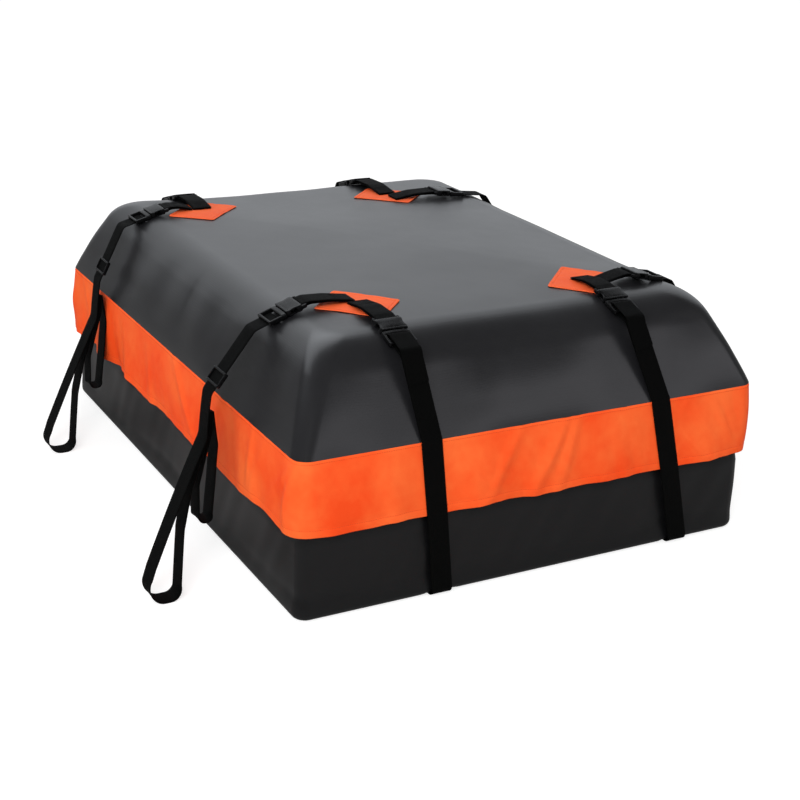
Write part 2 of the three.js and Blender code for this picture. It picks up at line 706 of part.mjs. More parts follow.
// The strap slider rides the straight run of the side strap between the shoulder bend and the band
function makeTriGlide(line) {
  const { bend, end } = sideStrapRun(line);
  const run = new THREE.Vector2(end[0] - bend[0], end[1] - bend[1]);
  const along = run.clone().normalize();
  const middle = run.length() - GLIDE_RISE;
  const normal = new THREE.Vector2(-along.y, along.x);
  const half = GLIDE_LENGTH / 2;
  const top = GLIDE_HEIGHT / 2;
  const face = webHalf + CLEARANCE;
  const frame = roundedPlate(-half, half, buckleHalf - 0.5, 3, -top, top);
  const passage = block(-half - 1, half + 1, -railInside, railInside, -top - 1, face);
  const window = block(BAR_DEPTH - half, half - BAR_DEPTH, -railInside, railInside, 0, top + 1);
  const centreBar = block(-BAR_DEPTH / 2, BAR_DEPTH / 2, -railInside - 1, railInside + 1, 0.4 - top, -face);
  const glide = union([cut(frame, [passage, window]), centreBar]);
  return laid(glide, (u, across, w) => {
    const h = bend[0] + along.x * (u + middle) + normal.x * w;
    const z = bend[1] + along.y * (u + middle) + normal.y * w;
    return line.place(h, SHOULDER_HEIGHT, across).setZ(z);
  });
}

// Long strap: front plug, over the shoulder, down the flap, under the tub and up to the back plug
function makeLongStrap(word) {
  const halves = [-1, 1].map((end) => {
    const line = endLine(cornerOf(word, end));
    const frame = buckleFrame(line);
    const start = frame(webStart, webPlugHeight);
    const bend = frame(PLUG_LENGTH + PLUG_TRAVEL + 9, webPlugHeight);
    const off = webHalf + 2 * CLEARANCE;
    const hem = halfLength + FLAP_FLARE + off;
    const run = [
      start,
      [...bend, 14],
      [halfLength + off + 0.4, SEAM_HEIGHT + 2, 14],
      [hem, flapBottom, 60],
      [hem - 1, webHalf, UNDER_BEND],
    ];
    return run.map(([h, z, radius]) => [end * h, z, radius]);
  });
  const vertices = [...halves[0], ...halves[1].reverse()];
  return webbingSolid(vertices, (y, z, across) => {
    const x = longStrapX(cornerOf(word, y), z);
    return new THREE.Vector3(x + across, y, z);
  });
}

// A patch set cornerwise on the crowned top, its long sides square to the line to the bag's corner
function makePatch(corner) {
  const centreX = patchX(corner);
  const centreY = patchY(corner);
  const turned = corner.side * corner.end > 0;
  const steps = 5;
  const points = [];
  for (const lift of [PATCH_LIFT, PATCH_LIFT + PATCH_THICKNESS]) {
    for (let i = 0; i <= steps; i += 1) {
      for (let j = 0; j <= steps; j += 1) {
        const p = (i / steps - 0.5) * (turned ? PATCH_SHORT_SIDE : PATCH_LONG_SIDE);
        const q = (j / steps - 0.5) * (turned ? PATCH_LONG_SIDE : PATCH_SHORT_SIDE);
        const x = centreX + (p - q) * Math.SQRT1_2;
        const y = centreY + (p + q) * Math.SQRT1_2;
        points.push(new THREE.Vector3(x, y, topHeight(x, y) + lift));
      }
    }
  }
  const row = steps + 1;
  const layer = row * row;
  const triangles = [];
  for (let i = 0; i < steps; i += 1) {
    for (let j = 0; j < steps; j += 1) {
      const a = i * row + j;
      const b = a + row;
      triangles.push([a, a + 1, b], [a + 1, b + 1, b]);
      triangles.push([a + layer, b + layer, a + 1 + layer], [a + 1 + layer, b + layer, b + 1 + layer]);
    }
    const sides = [[i * row, 1], [i * row + steps, -1]];
    for (const [a, turn] of sides) {
      const b = a + row;
      const pair = [[a, b, b + layer], [a, b + layer, a + layer]];
      triangles.push(...pair.map(([p, q, r]) => (turn > 0 ? [p, q, r] : [p, r, q])));
    }
    const ends = [[i, -1], [steps * row + i, 1]];
    for (const [a, turn] of ends) {
      const b = a + 1;
      const pair = [[a, b, b + layer], [a, b + layer, a + layer]];
      triangles.push(...pair.map(([p, q, r]) => (turn > 0 ? [p, q, r] : [p, r, q])));
    }
  }
  return closedSolid(points, triangles);
}

addPiece('lower_tub', makeTub(), tarpDark);
addPiece('top_cover', makeCover(), tarpTop);
addPiece('storm_flap', makeFlap(), orangeCloth);
addPiece('zip_chain', makeZipChain(), zipBlack);

for (const [side, word] of [[-1, 'left'], [1, 'right']]) {
  addPiece(`zip_slider_${word}`, makeZipSlider(side), sliderMetal);
  addPiece(`zip_pull_${word}`, makeZipPull(side), webbing);
  addPiece(`long_strap_${word}`, makeLongStrap(word), webbing);
}

for (const [name, corner] of Object.entries(CORNERS)) {
  addPiece(`patch_${name}`, makePatch(corner), orangePatch);
  const sideRun = sideLine(corner);
  for (const [kind, line] of [['end', endLine(corner)], ['side', sideRun]]) {
    addPiece(`anchor_${kind}_${name}`, makeAnchor(line), webbing);
    addPiece(`socket_${kind}_${name}`, layOnLine(makeSocket(), line), buckleBlack);
    addPiece(`plug_${kind}_${name}`, layOnLine(makePlug(), line), buckleBlack);
  }
  addPiece(`side_strap_${name}`, makeSideStrap(sideRun), webbing);
  addPiece(`tri_glide_${name}`, makeTriGlide(sideRun), buckleBlack);
}

export default bag;
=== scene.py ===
"""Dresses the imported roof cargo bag: tarpaulin shells, storm flap, webbing harness, buckles and zip.

Lengths are metres in the CAD frame: +X to the bag's right, +Y to its back end, +Z up, the floor at z = 0.
"""

import logging
from collections.abc import Callable, Iterable
from dataclasses import dataclass, field
from enum import Enum

import bmesh
import bpy
import numpy as np
from mathutils import Matrix


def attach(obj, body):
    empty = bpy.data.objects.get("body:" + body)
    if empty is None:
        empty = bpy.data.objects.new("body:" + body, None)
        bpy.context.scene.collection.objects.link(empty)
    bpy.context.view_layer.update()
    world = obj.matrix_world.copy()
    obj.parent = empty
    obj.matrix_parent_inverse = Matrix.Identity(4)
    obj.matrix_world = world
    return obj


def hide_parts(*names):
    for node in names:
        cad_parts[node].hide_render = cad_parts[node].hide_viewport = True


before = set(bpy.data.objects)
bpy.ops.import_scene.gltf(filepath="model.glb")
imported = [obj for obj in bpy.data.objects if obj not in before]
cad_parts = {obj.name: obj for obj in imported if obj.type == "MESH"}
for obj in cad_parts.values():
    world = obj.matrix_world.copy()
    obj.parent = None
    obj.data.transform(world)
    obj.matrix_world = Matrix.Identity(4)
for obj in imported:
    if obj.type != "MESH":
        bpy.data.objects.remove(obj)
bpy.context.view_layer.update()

logging.basicConfig(level=logging.INFO, format="%(message)s")
log = logging.getLogger("roof_bag")

Array = np.ndarray
Colour = tuple[float, float, float]
Material = bpy.types.Material
Piece = bpy.types.Object
Socket = bpy.types.NodeSocket
Face = Callable[[Array, Array], tuple[Array, Array]]
Lay = Callable[[Array, Array, Array], Array]


class End(Enum):
    """The bag's two ends and their direction along Y."""

    FRONT = -1
    BACK = 1


class Side(Enum):
    """The bag's two long sides and their direction along X."""

    LEFT = -1
    RIGHT = 1


# Sizes


@dataclass(frozen=True)
class BagSize:
    """The bag's driving sizes."""

    half_width: float = 0.450
    half_length: float = 0.575
    seam: float = 0.285
    zip_line: float = 0.215
    shoulder: float = 0.440
    crown: float = 0.008
    side_inset: float = 0.070
    end_inset: float = 0.092
    side_roll: float = 0.080
    end_roll: float = 0.105
    corner: float = 0.030
    top_corner: float = 0.044
    flap_stand: float = 0.014
    flap_drop: float = 0.131
    tub_bulge: float = 0.010
    tub_edge: float = 0.014
    wall_corner: float = 0.016

    @property
    def hem(self) -> float:
        """Height of the storm flap's hem."""
        return self.seam - self.flap_drop

    @property
    def wall_x(self) -> float:
        """Half width of the wall behind the flap."""
        return self.half_width - self.flap_stand

    @property
    def wall_y(self) -> float:
        """Half length of the wall behind the flap."""
        return self.half_length - self.flap_stand


@dataclass(frozen=True)
class Corner:
    """One corner's own places.

    The patch's middle lies patch_side and patch_end in from the bag's side and end. The side buckle's mouth
    lies side_mouth in from the side, turned down by side_tilt degrees. The long strap leans by lean. The side
    strap stands off by stand, lies off the patch by offset, swings by swing as it falls and spreads its loop
    by spread. The anchors start end_start and side_start outside the patch's middle. The cover's roll stands
    fuller by hip.
    """

    end: End
    side: Side
    patch_side: float
    patch_end: float
    side_mouth: float
    lean: float
    stand: float
    offset: float
    side_tilt: float
    swing: float
    spread: float
    end_start: float
    side_start: float
    hip: float

    @property
    def name(self) -> str:
        """The corner's name as the CAD nodes spell it."""
        return f"{self.end.name.lower()}_{self.side.name.lower()}"


BAG = BagSize()
CORNERS = (
    Corner(End.FRONT, Side.LEFT, 0.220, 0.243, 0.092, 0.048, 0.042, 0.022, 20, 0.088, 1.0,
           end_start=-0.002, side_start=0.003, hip=0.003),
    Corner(End.FRONT, Side.RIGHT, 0.243, 0.218, 0.130, 0.100, 0.014, -0.023, 10, -0.040, 0.5,
           end_start=-0.007, side_start=0.022, hip=0.006),
    Corner(End.BACK, Side.LEFT, 0.205, 0.242, 0.096, 0.040, 0.014, 0.022, 16, 0.088, 1.0,
           end_start=0.004, side_start=0.022, hip=0.014),
    Corner(End.BACK, Side.RIGHT, 0.284, 0.263, 0.165, 0.040, 0.014, -0.034, 6, -0.040, 0.5,
           end_start=0.004, side_start=-0.008, hip=0.0),
)

# The webbing's height in a plug, and the places (h, z) where a long strap passes the seam and the floor
WEB_LEVEL = 0.0032
SEAM_PASS = (0.577, 0.287)
FLOOR_PASS = (0.5786, 0.0012)

# How far past a buckle's mouth the long strap bends, half a sewn box's width, and a thread's lift off cloth
END_BEND = 0.063
BOX_HALF = 0.0145
THREAD_LIFT = 0.0001

# The Wave texture's bands lie this far apart at a scale of one
BAND_SPACING = 0.314


# Mesh making


def placed(name: str, data: bpy.types.ID) -> Piece:
    """Makes an object of some data and puts it into the scene.

    Args:
        name: the object's name.
        data: its mesh, light or camera.

    Returns:
        The object.
    """
    made = bpy.data.objects.new(name, data)
    bpy.context.scene.collection.objects.link(made)
    return made


def ring_quads(rows: int, columns: int) -> tuple[Array, Array, Array]:
    """Quads between neighbouring closed rings of points, numbered row by row.

    Args:
        rows: how many rings there are.
        columns: how many points are on each.

    Returns:
        (m, 4) vertex numbers, and each quad's row and column.
    """
    row, column = np.meshgrid(np.arange(rows - 1), np.arange(columns), indexing="ij")
    row, column = row.ravel(), column.ravel()
    first, ahead = row * columns, (column + 1) % columns
    quads = np.stack([first + column, first + ahead, first + columns + ahead, first + columns + column], 1)
    return quads, row, column


@dataclass
class MeshParts:
    """Closed surfaces gathered into one mesh."""

    points: list[Array] = field(default_factory=list)
    faces: list[list[list[int]]] = field(default_factory=list)
    uvs: list[Array] = field(default_factory=list)
    count: int = 0

    def add(self, points: Array, faces: Array, uv: Array) -> None:
        """Adds vertices, faces and one UV for each face corner.

        Args:
            points: (n, 3) places.
            faces: (m, k) vertex numbers, counted from this part's first vertex.
            uv: (m * k, 2) texture places in metres.
        """
        self.points.append(points)
        self.faces.append((faces + self.count).tolist())
        self.uvs.append(uv)
        self.count += len(points)

    def sweep(self, rings: Array, u: Array, v: Array, caps: bool = True) -> None:
        """Adds a closed skin through rings of points: quads between neighbours, a fan on each end.

        Args:
            rings: (rows, columns, 3) places, each row a closed ring.
            u: (columns + 1,) texture distance round the ring.
            v: (rows,) texture distance along the rings.
            caps: whether the first and last ring are closed by a fan to their middle.
        """
        rows, columns = rings.shape[:2]
        quads, row, column = ring_quads(rows, columns)
        uv = np.stack([np.stack([u[column], u[column + 1], u[column + 1], u[column]], 1),
                       np.stack([v[row], v[row], v[row + 1], v[row + 1]], 1)], 2)
        start, near = self.count, np.arange(columns)
        self.add(rings.reshape(-1, 3), quads, uv.reshape(-1, 2))
        for index in (0, rows - 1) if caps else ():
            first = start + index * columns - self.count
            fan = np.stack([0 * near, first + near, first + (near + 1) % columns], 1)
            flat = np.stack([np.stack([np.full(columns, u.mean()), u[near], u[near + 1]], 1),
                             np.full((columns, 3), v[index])], 2)
            self.add(rings[index].mean(0)[None], fan, flat.reshape(-1, 2))

    def bars(self, points: Array) -> None:
        """Adds many small closed bars at once: quads round each, and two quads on each of its ends.

        Args:
            points: (count, rows, 6, 3) places.
        """
        count, rows, columns = points.shape[:3]
        ends = np.array([[0, 3, 2, 1], [0, 5, 4, 3]])
        faces = np.concatenate([ring_quads(rows, columns)[0], ends, ends[:, ::-1] + (rows - 1) * columns])
        every = (faces[None] + np.arange(count)[:, None, None] * rows * columns).reshape(-1, 4)
        self.add(points.reshape(-1, 3), every, np.zeros((every.size, 2)))

    def build(self, name: str, material: Material, sharp: float = 40.0) -> Piece:
        """Makes the object, its faces turned outwards and smooth up to an angle.

        Args:
            name: the piece's name.
            material: its finish.
            sharp: the angle in degrees past which an edge stays sharp.

        Returns:
            The new object, at the origin.
        """
        mesh = bpy.data.meshes.new(name)
        points = np.concatenate(self.points)
        mesh.from_pydata(points.tolist(), [], [face for group in self.faces for face in group])
        layer = mesh.uv_layers.new(name="UVMap")
        layer.data.foreach_set("uv", np.concatenate(self.uvs).astype(np.float32).ravel())
        shape = bmesh.new()
        shape.from_mesh(mesh)
        bmesh.ops.recalc_face_normals(shape, faces=shape.faces)
        shape.to_mesh(mesh)
        shape.free()
        mesh.polygons.foreach_set("use_smooth", np.ones(len(mesh.polygons), bool))
        mesh.set_sharp_from_angle(angle=np.radians(sharp))
        mesh.materials.append(material)
        return placed(name, mesh)


def dress(piece: Piece, body: str, slot: str, *nodes: str) -> Piece:
    """Rides a piece on its body and hides the CAD nodes that it replaces.

    Args:
        piece: the finished piece.
        body: the CAD body it moves with.
        slot: not used.
        nodes: the CAD nodes that it replaces.

    Returns:
        The same piece.
    """
    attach(piece, body)
    if nodes:
        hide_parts(*nodes)
    log.info("%s on %s: %d faces", piece.name, body, len(piece.data.polygons))
    return piece


def soft_waves(along: Array, total: float, count: int, low: int, high: int, seed: int) -> Array:
    """A smooth closed random line: the sum of whole sine waves round a loop, scaled to about one.

    Args:
        along: distances round the loop.
        total: the loop's length.
        count: how many waves are summed.
        low: the fewest whole waves round the loop.
        high: the most.
        seed: the seed of the random phases.

    Returns:
        Heights, as many as distances.
    """
    rng = np.random.default_rng(seed)
    turns = rng.integers(low, high + 1, count)
    phase = rng.uniform(0, 2 * np.pi, count)
    weight = rng.uniform(0.4, 1.0, count)
    angle = 2 * np.pi * along[..., None] * turns / total + phase
    return (np.sin(angle) * weight).sum(-1) / np.sqrt((weight**2).sum() / 2) / 1.6


def soft_field(x: Array, y: Array, lengths: tuple[float, float], count: int, seed: int) -> Array:
    """A smooth random relief: the sum of plane waves of random direction, scaled to about one.

    Args:
        x: places across.
        y: places along.
        lengths: the shortest and longest wave, in metres.
        count: how many waves are summed.
        seed: the seed of the random draws.

    Returns:
        Heights, in the shape of x.
    """
    rng = np.random.default_rng(seed)
    turn = rng.uniform(0, 2 * np.pi, count)
    wave = 2 * np.pi / rng.uniform(*lengths, count)
    phase = rng.uniform(0, 2 * np.pi, count)
    angle = x[..., None] * np.cos(turn) * wave + y[..., None] * np.sin(turn) * wave + phase
    return np.sin(angle).sum(-1) / np.sqrt(count / 2) / 1.6


def smooth_step(value: Array, low: float, high: float) -> Array:
    """Zero below low, one above high, and a smooth cubic between them."""
    share = np.clip((value - low) / (high - low), 0, 1)
    return share * share * (3 - 2 * share)


def rounded_outline(a: Array, b: Array, radius: Array, corner_steps: int = 18,
                    side_steps: tuple[int, int] = (92, 118)) -> dict[str, Array]:
    """A rounded rectangle for each row: quarter arcs at the corners joined by straight sides.

    Args:
        a: (rows, 1) half widths.
        b: (rows, 1) half lengths.
        radius: (rows, 1) corner radii.
        corner_steps: faces round each corner.
        side_steps: faces along each side that runs across, and along each that runs with the length.

    Returns:
        x, y and the outward normal nx, ny, each (rows, columns), counterclockwise from the +X side.
    """
    signs = ((1, 1), (-1, 1), (-1, -1), (1, -1))
    found: dict[str, list[Array]] = {"x": [], "y": [], "nx": [], "ny": []}
    for quarter, (sx, sy) in enumerate(signs):
        turn = (quarter + np.linspace(0, 1, corner_steps + 1)) * np.pi / 2
        nx, ny = np.cos(turn)[None], np.sin(turn)[None]
        x = sx * (a - radius) + radius * nx
        y = sy * (b - radius) + radius * ny
        ex, ey = signs[(quarter + 1) % 4]
        end_x = ex * (a - radius) + radius * nx[:, -1:]
        end_y = ey * (b - radius) + radius * ny[:, -1:]
        share = np.linspace(0, 1, side_steps[quarter % 2] + 1)[None, 1:-1]
        found["x"] += [x, x[:, -1:] * (1 - share) + end_x * share]
        found["y"] += [y, y[:, -1:] * (1 - share) + end_y * share]
        for key, normal in (("nx", nx), ("ny", ny)):
            straight = np.broadcast_to(normal[:, -1:] + 0 * share, (len(a), share.size))
            found[key] += [np.broadcast_to(normal, x.shape), straight]
    return {key: np.concatenate(parts, 1) for key, parts in found.items()}


def run_along(line: Array) -> Array:
    """Distance along a line of points, from its first one, by its first three columns."""
    return np.append(0.0, np.cumsum(np.linalg.norm(np.diff(line[:, :3], axis=0), axis=1)))


def closed(ring: Array) -> Array:
    """A ring of points or numbers with its first one again at the end."""
    return np.concatenate([ring, ring[:1]])


def round_length(x: Array, y: Array) -> Array:
    """Distance round a closed line of points, with the closing point's own at the end."""
    return run_along(closed(np.stack([x, y], 1)))


def rounded_path(vertices: list[tuple[float, ...]], turn_step: float) -> Array:
    """A line through corner points, each corner rounded to its own radius by a tangent arc.

    Args:
        vertices: (h, z) or (h, z, radius) for each corner.
        turn_step: degrees of arc between points.

    Returns:
        (n, 2) points.
    """
    at = np.array([vertex[:2] for vertex in vertices], float)
    line = [at[:1]]
    for index in range(1, len(at) - 1):
        before = at[index - 1] - at[index]
        after = at[index + 1] - at[index]
        before /= np.linalg.norm(before)
        after /= np.linalg.norm(after)
        turn = np.pi - np.arccos(np.clip(before @ after, -1, 1))
        radius = vertices[index][2] if len(vertices[index]) > 2 else 0.0
        if radius == 0 or turn < 0.02:
            line.append(at[index:index + 1])
            continue
        start = at[index] + before * radius * np.tan(turn / 2)
        finish = at[index] + after * radius * np.tan(turn / 2)
        middle = before + after
        centre = at[index] + middle / np.linalg.norm(middle) * radius / np.cos(turn / 2)
        arm, last = start - centre, finish - centre
        way = np.sign(arm[0] * last[1] - arm[1] * last[0])
        steps = max(2, int(np.ceil(np.degrees(turn) / turn_step)))
        angle = way * turn * np.linspace(0, 1, steps + 1)
        spun = np.stack([arm[0] * np.cos(angle) - arm[1] * np.sin(angle),
                         arm[0] * np.sin(angle) + arm[1] * np.cos(angle)], 1)
        line.append(centre + spun)
    line.append(at[-1:])
    return np.concatenate(line)


def distinct(line: Array) -> Array:
    """The line without the points that repeat the one before, by its first three columns."""
    return line[np.append(True, np.linalg.norm(np.diff(line[:, :3], axis=0), axis=1) > 1e-7)]


def sampled(line: Array, run: Array, at: Array) -> Array:
    """The line's points at given distances along it, where run is its own points' distance."""
    return np.stack([np.interp(at, run, line[:, axis]) for axis in range(line.shape[1])], 1)


def spaced(line: Array, pitch: float) -> Array:
    """The same line with its points evenly spaced.

    Args:
        line: (n, k) points, and in any further columns what goes with them.
        pitch: about how far apart the new points lie.

    Returns:
        (m, k) points.
    """
    line = distinct(line)
    run = run_along(line)
    return sampled(line, run, np.linspace(0, run[-1], max(2, int(round(run[-1] / pitch)) + 1)))


def filled(line: Array, pitch: float) -> Array:
    """The line with its long steps split evenly.

    Args:
        line: (n, k) points, all of which are kept.
        pitch: the longest step that stays.

    Returns:
        (m, k) points.
    """
    line = distinct(line)
    run = run_along(line)
    step = np.diff(run)
    counts = np.maximum(1, np.ceil(step / pitch).astype(int))
    parts = [run[i] + step[i] * np.arange(counts[i]) / counts[i] for i in range(len(step))]
    return sampled(line, run, np.concatenate(parts + [run[-1:]]))


def unit(vectors: Array) -> Array:
    """Vectors of the last axis, scaled to length one."""
    return vectors / np.maximum(np.linalg.norm(vectors, axis=-1, keepdims=True), 1e-12)


# Finishes


class Nodes:
    """A short way to make and join a material's nodes."""

    def __init__(self, name: str) -> None:
        """Starts a material with a Principled shader.

        Args:
            name: the material's name.
        """
        self.material = bpy.data.materials.new(name)
        self.material.use_nodes = True
        self.tree = self.material.node_tree
        self.shader = self.tree.nodes["Principled BSDF"]

    def node(self, kind: str, **settings: object) -> bpy.types.Node:
        """Makes a node.

        Args:
            kind: Blender's name of the node's type.
            settings: its plain properties, or values of its inputs, with an underscore for each space.

        Returns:
            The node.
        """
        made = self.tree.nodes.new(kind)
        for key, value in settings.items():
            if hasattr(made, key):
                setattr(made, key, value)
            else:
                made.inputs[key.replace("_", " ")].default_value = value
        return made

    def join(self, source: Socket, target: Socket) -> None:
        """Links an output to an input."""
        self.tree.links.new(source, target)

    def feed(self, name: str, source: Socket) -> None:
        """Links an output to one of the shader's own inputs."""
        self.join(source, self.shader.inputs[name])

    def fix(self, **values: object) -> None:
        """Sets constants on the shader's own inputs, named with an underscore for each space."""
        for name, value in values.items():
            self.shader.inputs[name.replace("_", " ")].default_value = value

    def maths(self, operation: str, first: object, second: object = None) -> Socket:
        """Makes a Math node.

        Args:
            operation: Blender's name of the operation.
            first: a socket or a number.
            second: another, or None where the operation takes one.

        Returns:
            The node's output.
        """
        made = self.node("ShaderNodeMath", operation=operation)
        for index, value in enumerate((first, second)):
            if isinstance(value, Socket):
                self.join(value, made.inputs[index])
            elif value is not None:
                made.inputs[index].default_value = value
        return made.outputs[0]

    def total(self, first: object, share: float, second: object, rest: float) -> Socket:
        """The sum of two sockets, each times a number of its own."""
        return self.maths("ADD", self.maths("MULTIPLY", first, share), self.maths("MULTIPLY", second, rest))

    def noise(self, place: Socket, scale: float, detail: float) -> Socket:
        """A noise pattern.

        Args:
            place: the socket of the coordinates.
            scale: how fine it is.
            detail: how many finer layers it has.

        Returns:
            Its factor.
        """
        made = self.node("ShaderNodeTexNoise", Scale=scale, Detail=detail)
        self.join(place, made.inputs["Vector"])
        return made.outputs["Fac"]

    def threads(self, place: Socket, ways: str, pitch: float, operation: str) -> Socket:
        """Threads of a weave: bands across each way, joined into one height.

        Args:
            place: the socket of the coordinates.
            ways: the axes that the bands lie across.
            pitch: the distance between threads.
            operation: the Math operation that joins them.

        Returns:
            The height.
        """
        height = None
        for way in ways:
            wave = self.node("ShaderNodeTexWave", bands_direction=way, Scale=BAND_SPACING / pitch)
            self.join(place, wave.inputs["Vector"])
            band = wave.outputs["Fac"]
            height = band if height is None else self.maths(operation, height, band)
        return height

    def ramp(self, factor: Socket, low: float, high: float,
             first: tuple[float, ...], second: tuple[float, ...]) -> Socket:
        """A colour that goes from first to second as the factor goes from low to high.

        Args:
            factor: the socket that drives it.
            low: where the first colour ends.
            high: where the second begins.
            first: the colour at the low end.
            second: the colour at the high end.

        Returns:
            The colour.
        """
        made = self.node("ShaderNodeValToRGB")
        for stop, position, colour in zip(made.color_ramp.elements, (low, high), (first, second)):
            stop.position = position
            stop.color = (*colour, 1)
        self.join(factor, made.inputs["Fac"])
        return made.outputs["Color"]

    def spread(self, factor: Socket, low: float, high: float) -> Socket:
        """A number that goes from low to high as the factor goes from 0 to 1.

        Args:
            factor: the socket that drives it.
            low: the number at 0.
            high: the number at 1.

        Returns:
            The number.
        """
        made = self.node("ShaderNodeMapRange", To_Min=low, To_Max=high)
        self.join(factor, made.inputs["Value"])
        return made.outputs["Result"]

    def bump(self, height: Socket, depth: float, strength: float,
             under: Socket | None = None) -> Socket:
        """A bump.

        Args:
            height: the socket of its pattern.
            depth: its full height in metres.
            strength: how much of it shows.
            under: the bump that it is laid over, if any.

        Returns:
            The normal.
        """
        made = self.node("ShaderNodeBump", Strength=strength, Distance=depth)
        self.join(height, made.inputs["Height"])
        if under is not None:
            self.join(under, made.inputs["Normal"])
        return made.outputs["Normal"]


def scaled(colour: tuple[float, ...], share: float) -> tuple[float, ...]:
    """A colour made lighter or darker by a share."""
    return tuple(min(1.0, channel * share) for channel in colour)


@dataclass(frozen=True)
class Tarpaulin:
    """Coated tarpaulin: a satin skin over a woven scrim, faintly mottled and creased."""

    name: str
    colour: Colour
    roughness: float = 0.40
    scrim: float = 0.0024
    gloss: float = 0.5

    def material(self) -> Material:
        """Builds the material on Object coordinates.

        Returns:
            The material.
        """
        n = Nodes(self.name)
        place = n.node("ShaderNodeTexCoord").outputs["Object"]
        tone = n.total(n.noise(place, 3.2, 4.0), 0.7, n.noise(place, 46.0, 5.0), 0.3)
        n.feed("Base Color", n.ramp(tone, 0.32, 0.68, scaled(self.colour, 0.86), scaled(self.colour, 1.16)))
        n.feed("Roughness", n.spread(tone, self.roughness - 0.05, self.roughness + 0.06))
        weave = n.bump(n.threads(place, "XYZ", self.scrim, "ADD"), 0.00006, 0.35)
        skin = n.bump(n.noise(place, 620.0, 2.0), 0.00008, 0.12, weave)
        n.feed("Normal", n.bump(n.noise(place, 14.0, 3.0), 0.0008, 0.12, skin))
        n.fix(Specular_IOR_Level=self.gloss)
        return n.material


@dataclass(frozen=True)
class CoatedCloth:
    """Bright coated cloth: a plain weave under a thin coat, its colour run by noise between a deep and a
    lighter orange: random tone, and also painted shade and painted highlights for soft folds.
    """

    name: str
    colour: Colour
    bright: Colour
    roughness: float = 0.60
    pitch: float = 0.0011
    gloss: float = 0.06

    def material(self) -> Material:
        """Builds the material: tone on Object coordinates, weave on the piece's own UV map.

        Returns:
            The material.
        """
        n = Nodes(self.name)
        coordinates = n.node("ShaderNodeTexCoord")
        place, cloth = coordinates.outputs["Object"], coordinates.outputs["UV"]
        tone = n.total(n.noise(place, 8.0, 3.0), 0.8, n.noise(place, 60.0, 3.0), 0.2)
        # Painted shade and painted highlight: the noise tone runs the colour from its deep end to its
        # lighter, yellower end, standing in for shaded and lit folds, and varies it at random too.
        n.feed("Base Color", n.ramp(tone, 0.36, 0.66, self.colour, self.bright))
        n.feed("Roughness", n.spread(tone, self.roughness - 0.06, self.roughness + 0.08))
        weave = n.bump(n.threads(cloth, "XY", self.pitch, "MULTIPLY"), 0.00012, 0.5)
        n.feed("Normal", n.bump(n.noise(place, 24.0, 4.0), 0.0022, 0.22, weave))
        n.fix(Specular_IOR_Level=self.gloss)
        return n.material


@dataclass(frozen=True)
class Webbing:
    """Woven strap: rows of ribs across the strap, its colour lighter on each rib's crown and darker in the
    grooves between: painted highlight and painted shade.
    """

    name: str
    colour: Colour
    rib: float = 0.0030
    row: float = 0.0022

    def material(self) -> Material:
        """Builds the material on the strap's own UV map: u across and v along, in metres.

        Returns:
            The material.
        """
        n = Nodes(self.name)
        coordinates = n.node("ShaderNodeTexCoord")
        parts = n.node("ShaderNodeSeparateXYZ")
        n.join(coordinates.outputs["UV"], parts.inputs[0])
        across, along = parts.outputs[0], parts.outputs[1]
        ribs = n.maths("SINE", n.maths("MULTIPLY", across, 2 * np.pi / self.rib))
        shifted = n.total(along, 2 * np.pi / self.row, n.maths("SIGN", ribs), np.pi / 2)
        yarn = n.total(n.maths("ABSOLUTE", ribs), 0.6, n.maths("SINE", shifted), 0.4)
        tone = n.total(yarn, 0.55, n.noise(coordinates.outputs["Object"], 900.0, 2.0), 0.6)
        # Painted shade and painted highlight: the colour follows the ribs' height, dark in the grooves and
        # light on the crowns, and the noise adds random tone.
        n.feed("Base Color", n.ramp(tone, 0.25, 1.0, scaled(self.colour, 0.55), scaled(self.colour, 2.1)))
        n.feed("Normal", n.bump(yarn, 0.00035, 0.8))
        n.fix(Roughness=0.72, Specular_IOR_Level=0.06)
        return n.material


@dataclass(frozen=True)
class Moulded:
    """Moulded plastic or painted metal: a faint orange peel, and roughness worn a little unevenly."""

    name: str
    colour: Colour
    roughness: float = 0.24
    metal: float = 0.0
    gloss: float = 0.5

    def material(self) -> Material:
        """Builds the material on Object coordinates.

        Returns:
            The material.
        """
        n = Nodes(self.name)
        place = n.node("ShaderNodeTexCoord").outputs["Object"]
        scuff = n.noise(place, 140.0, 5.0)
        n.feed("Base Color", n.ramp(scuff, 0.35, 0.75, scaled(self.colour, 0.85), scaled(self.colour, 1.35)))
        n.feed("Roughness", n.spread(scuff, self.roughness - 0.08, self.roughness + 0.12))
        n.feed("Normal", n.bump(n.noise(place, 1500.0, 2.0), 0.00004, 0.4))
        n.fix(Metallic=self.metal, Specular_IOR_Level=self.gloss)
        return n.material


@dataclass(frozen=True)
class Thread:
    """Sewing thread: a twisted yarn, matt with a slight sheen."""

    name: str
    colour: Colour

    def material(self) -> Material:
        """Builds the material on Object coordinates.

        Returns:
            The material.
        """
        n = Nodes(self.name)
        place = n.node("ShaderNodeTexCoord").outputs["Object"]
        twist = n.noise(place, 1800.0, 2.0)
        n.feed("Base Color", n.ramp(twist, 0.3, 0.7, scaled(self.colour, 0.7), scaled(self.colour, 1.25)))
        n.feed("Normal", n.bump(twist, 0.00008, 0.5))
        n.fix(Roughness=0.7, Specular_IOR_Level=0.15)
        return n.material


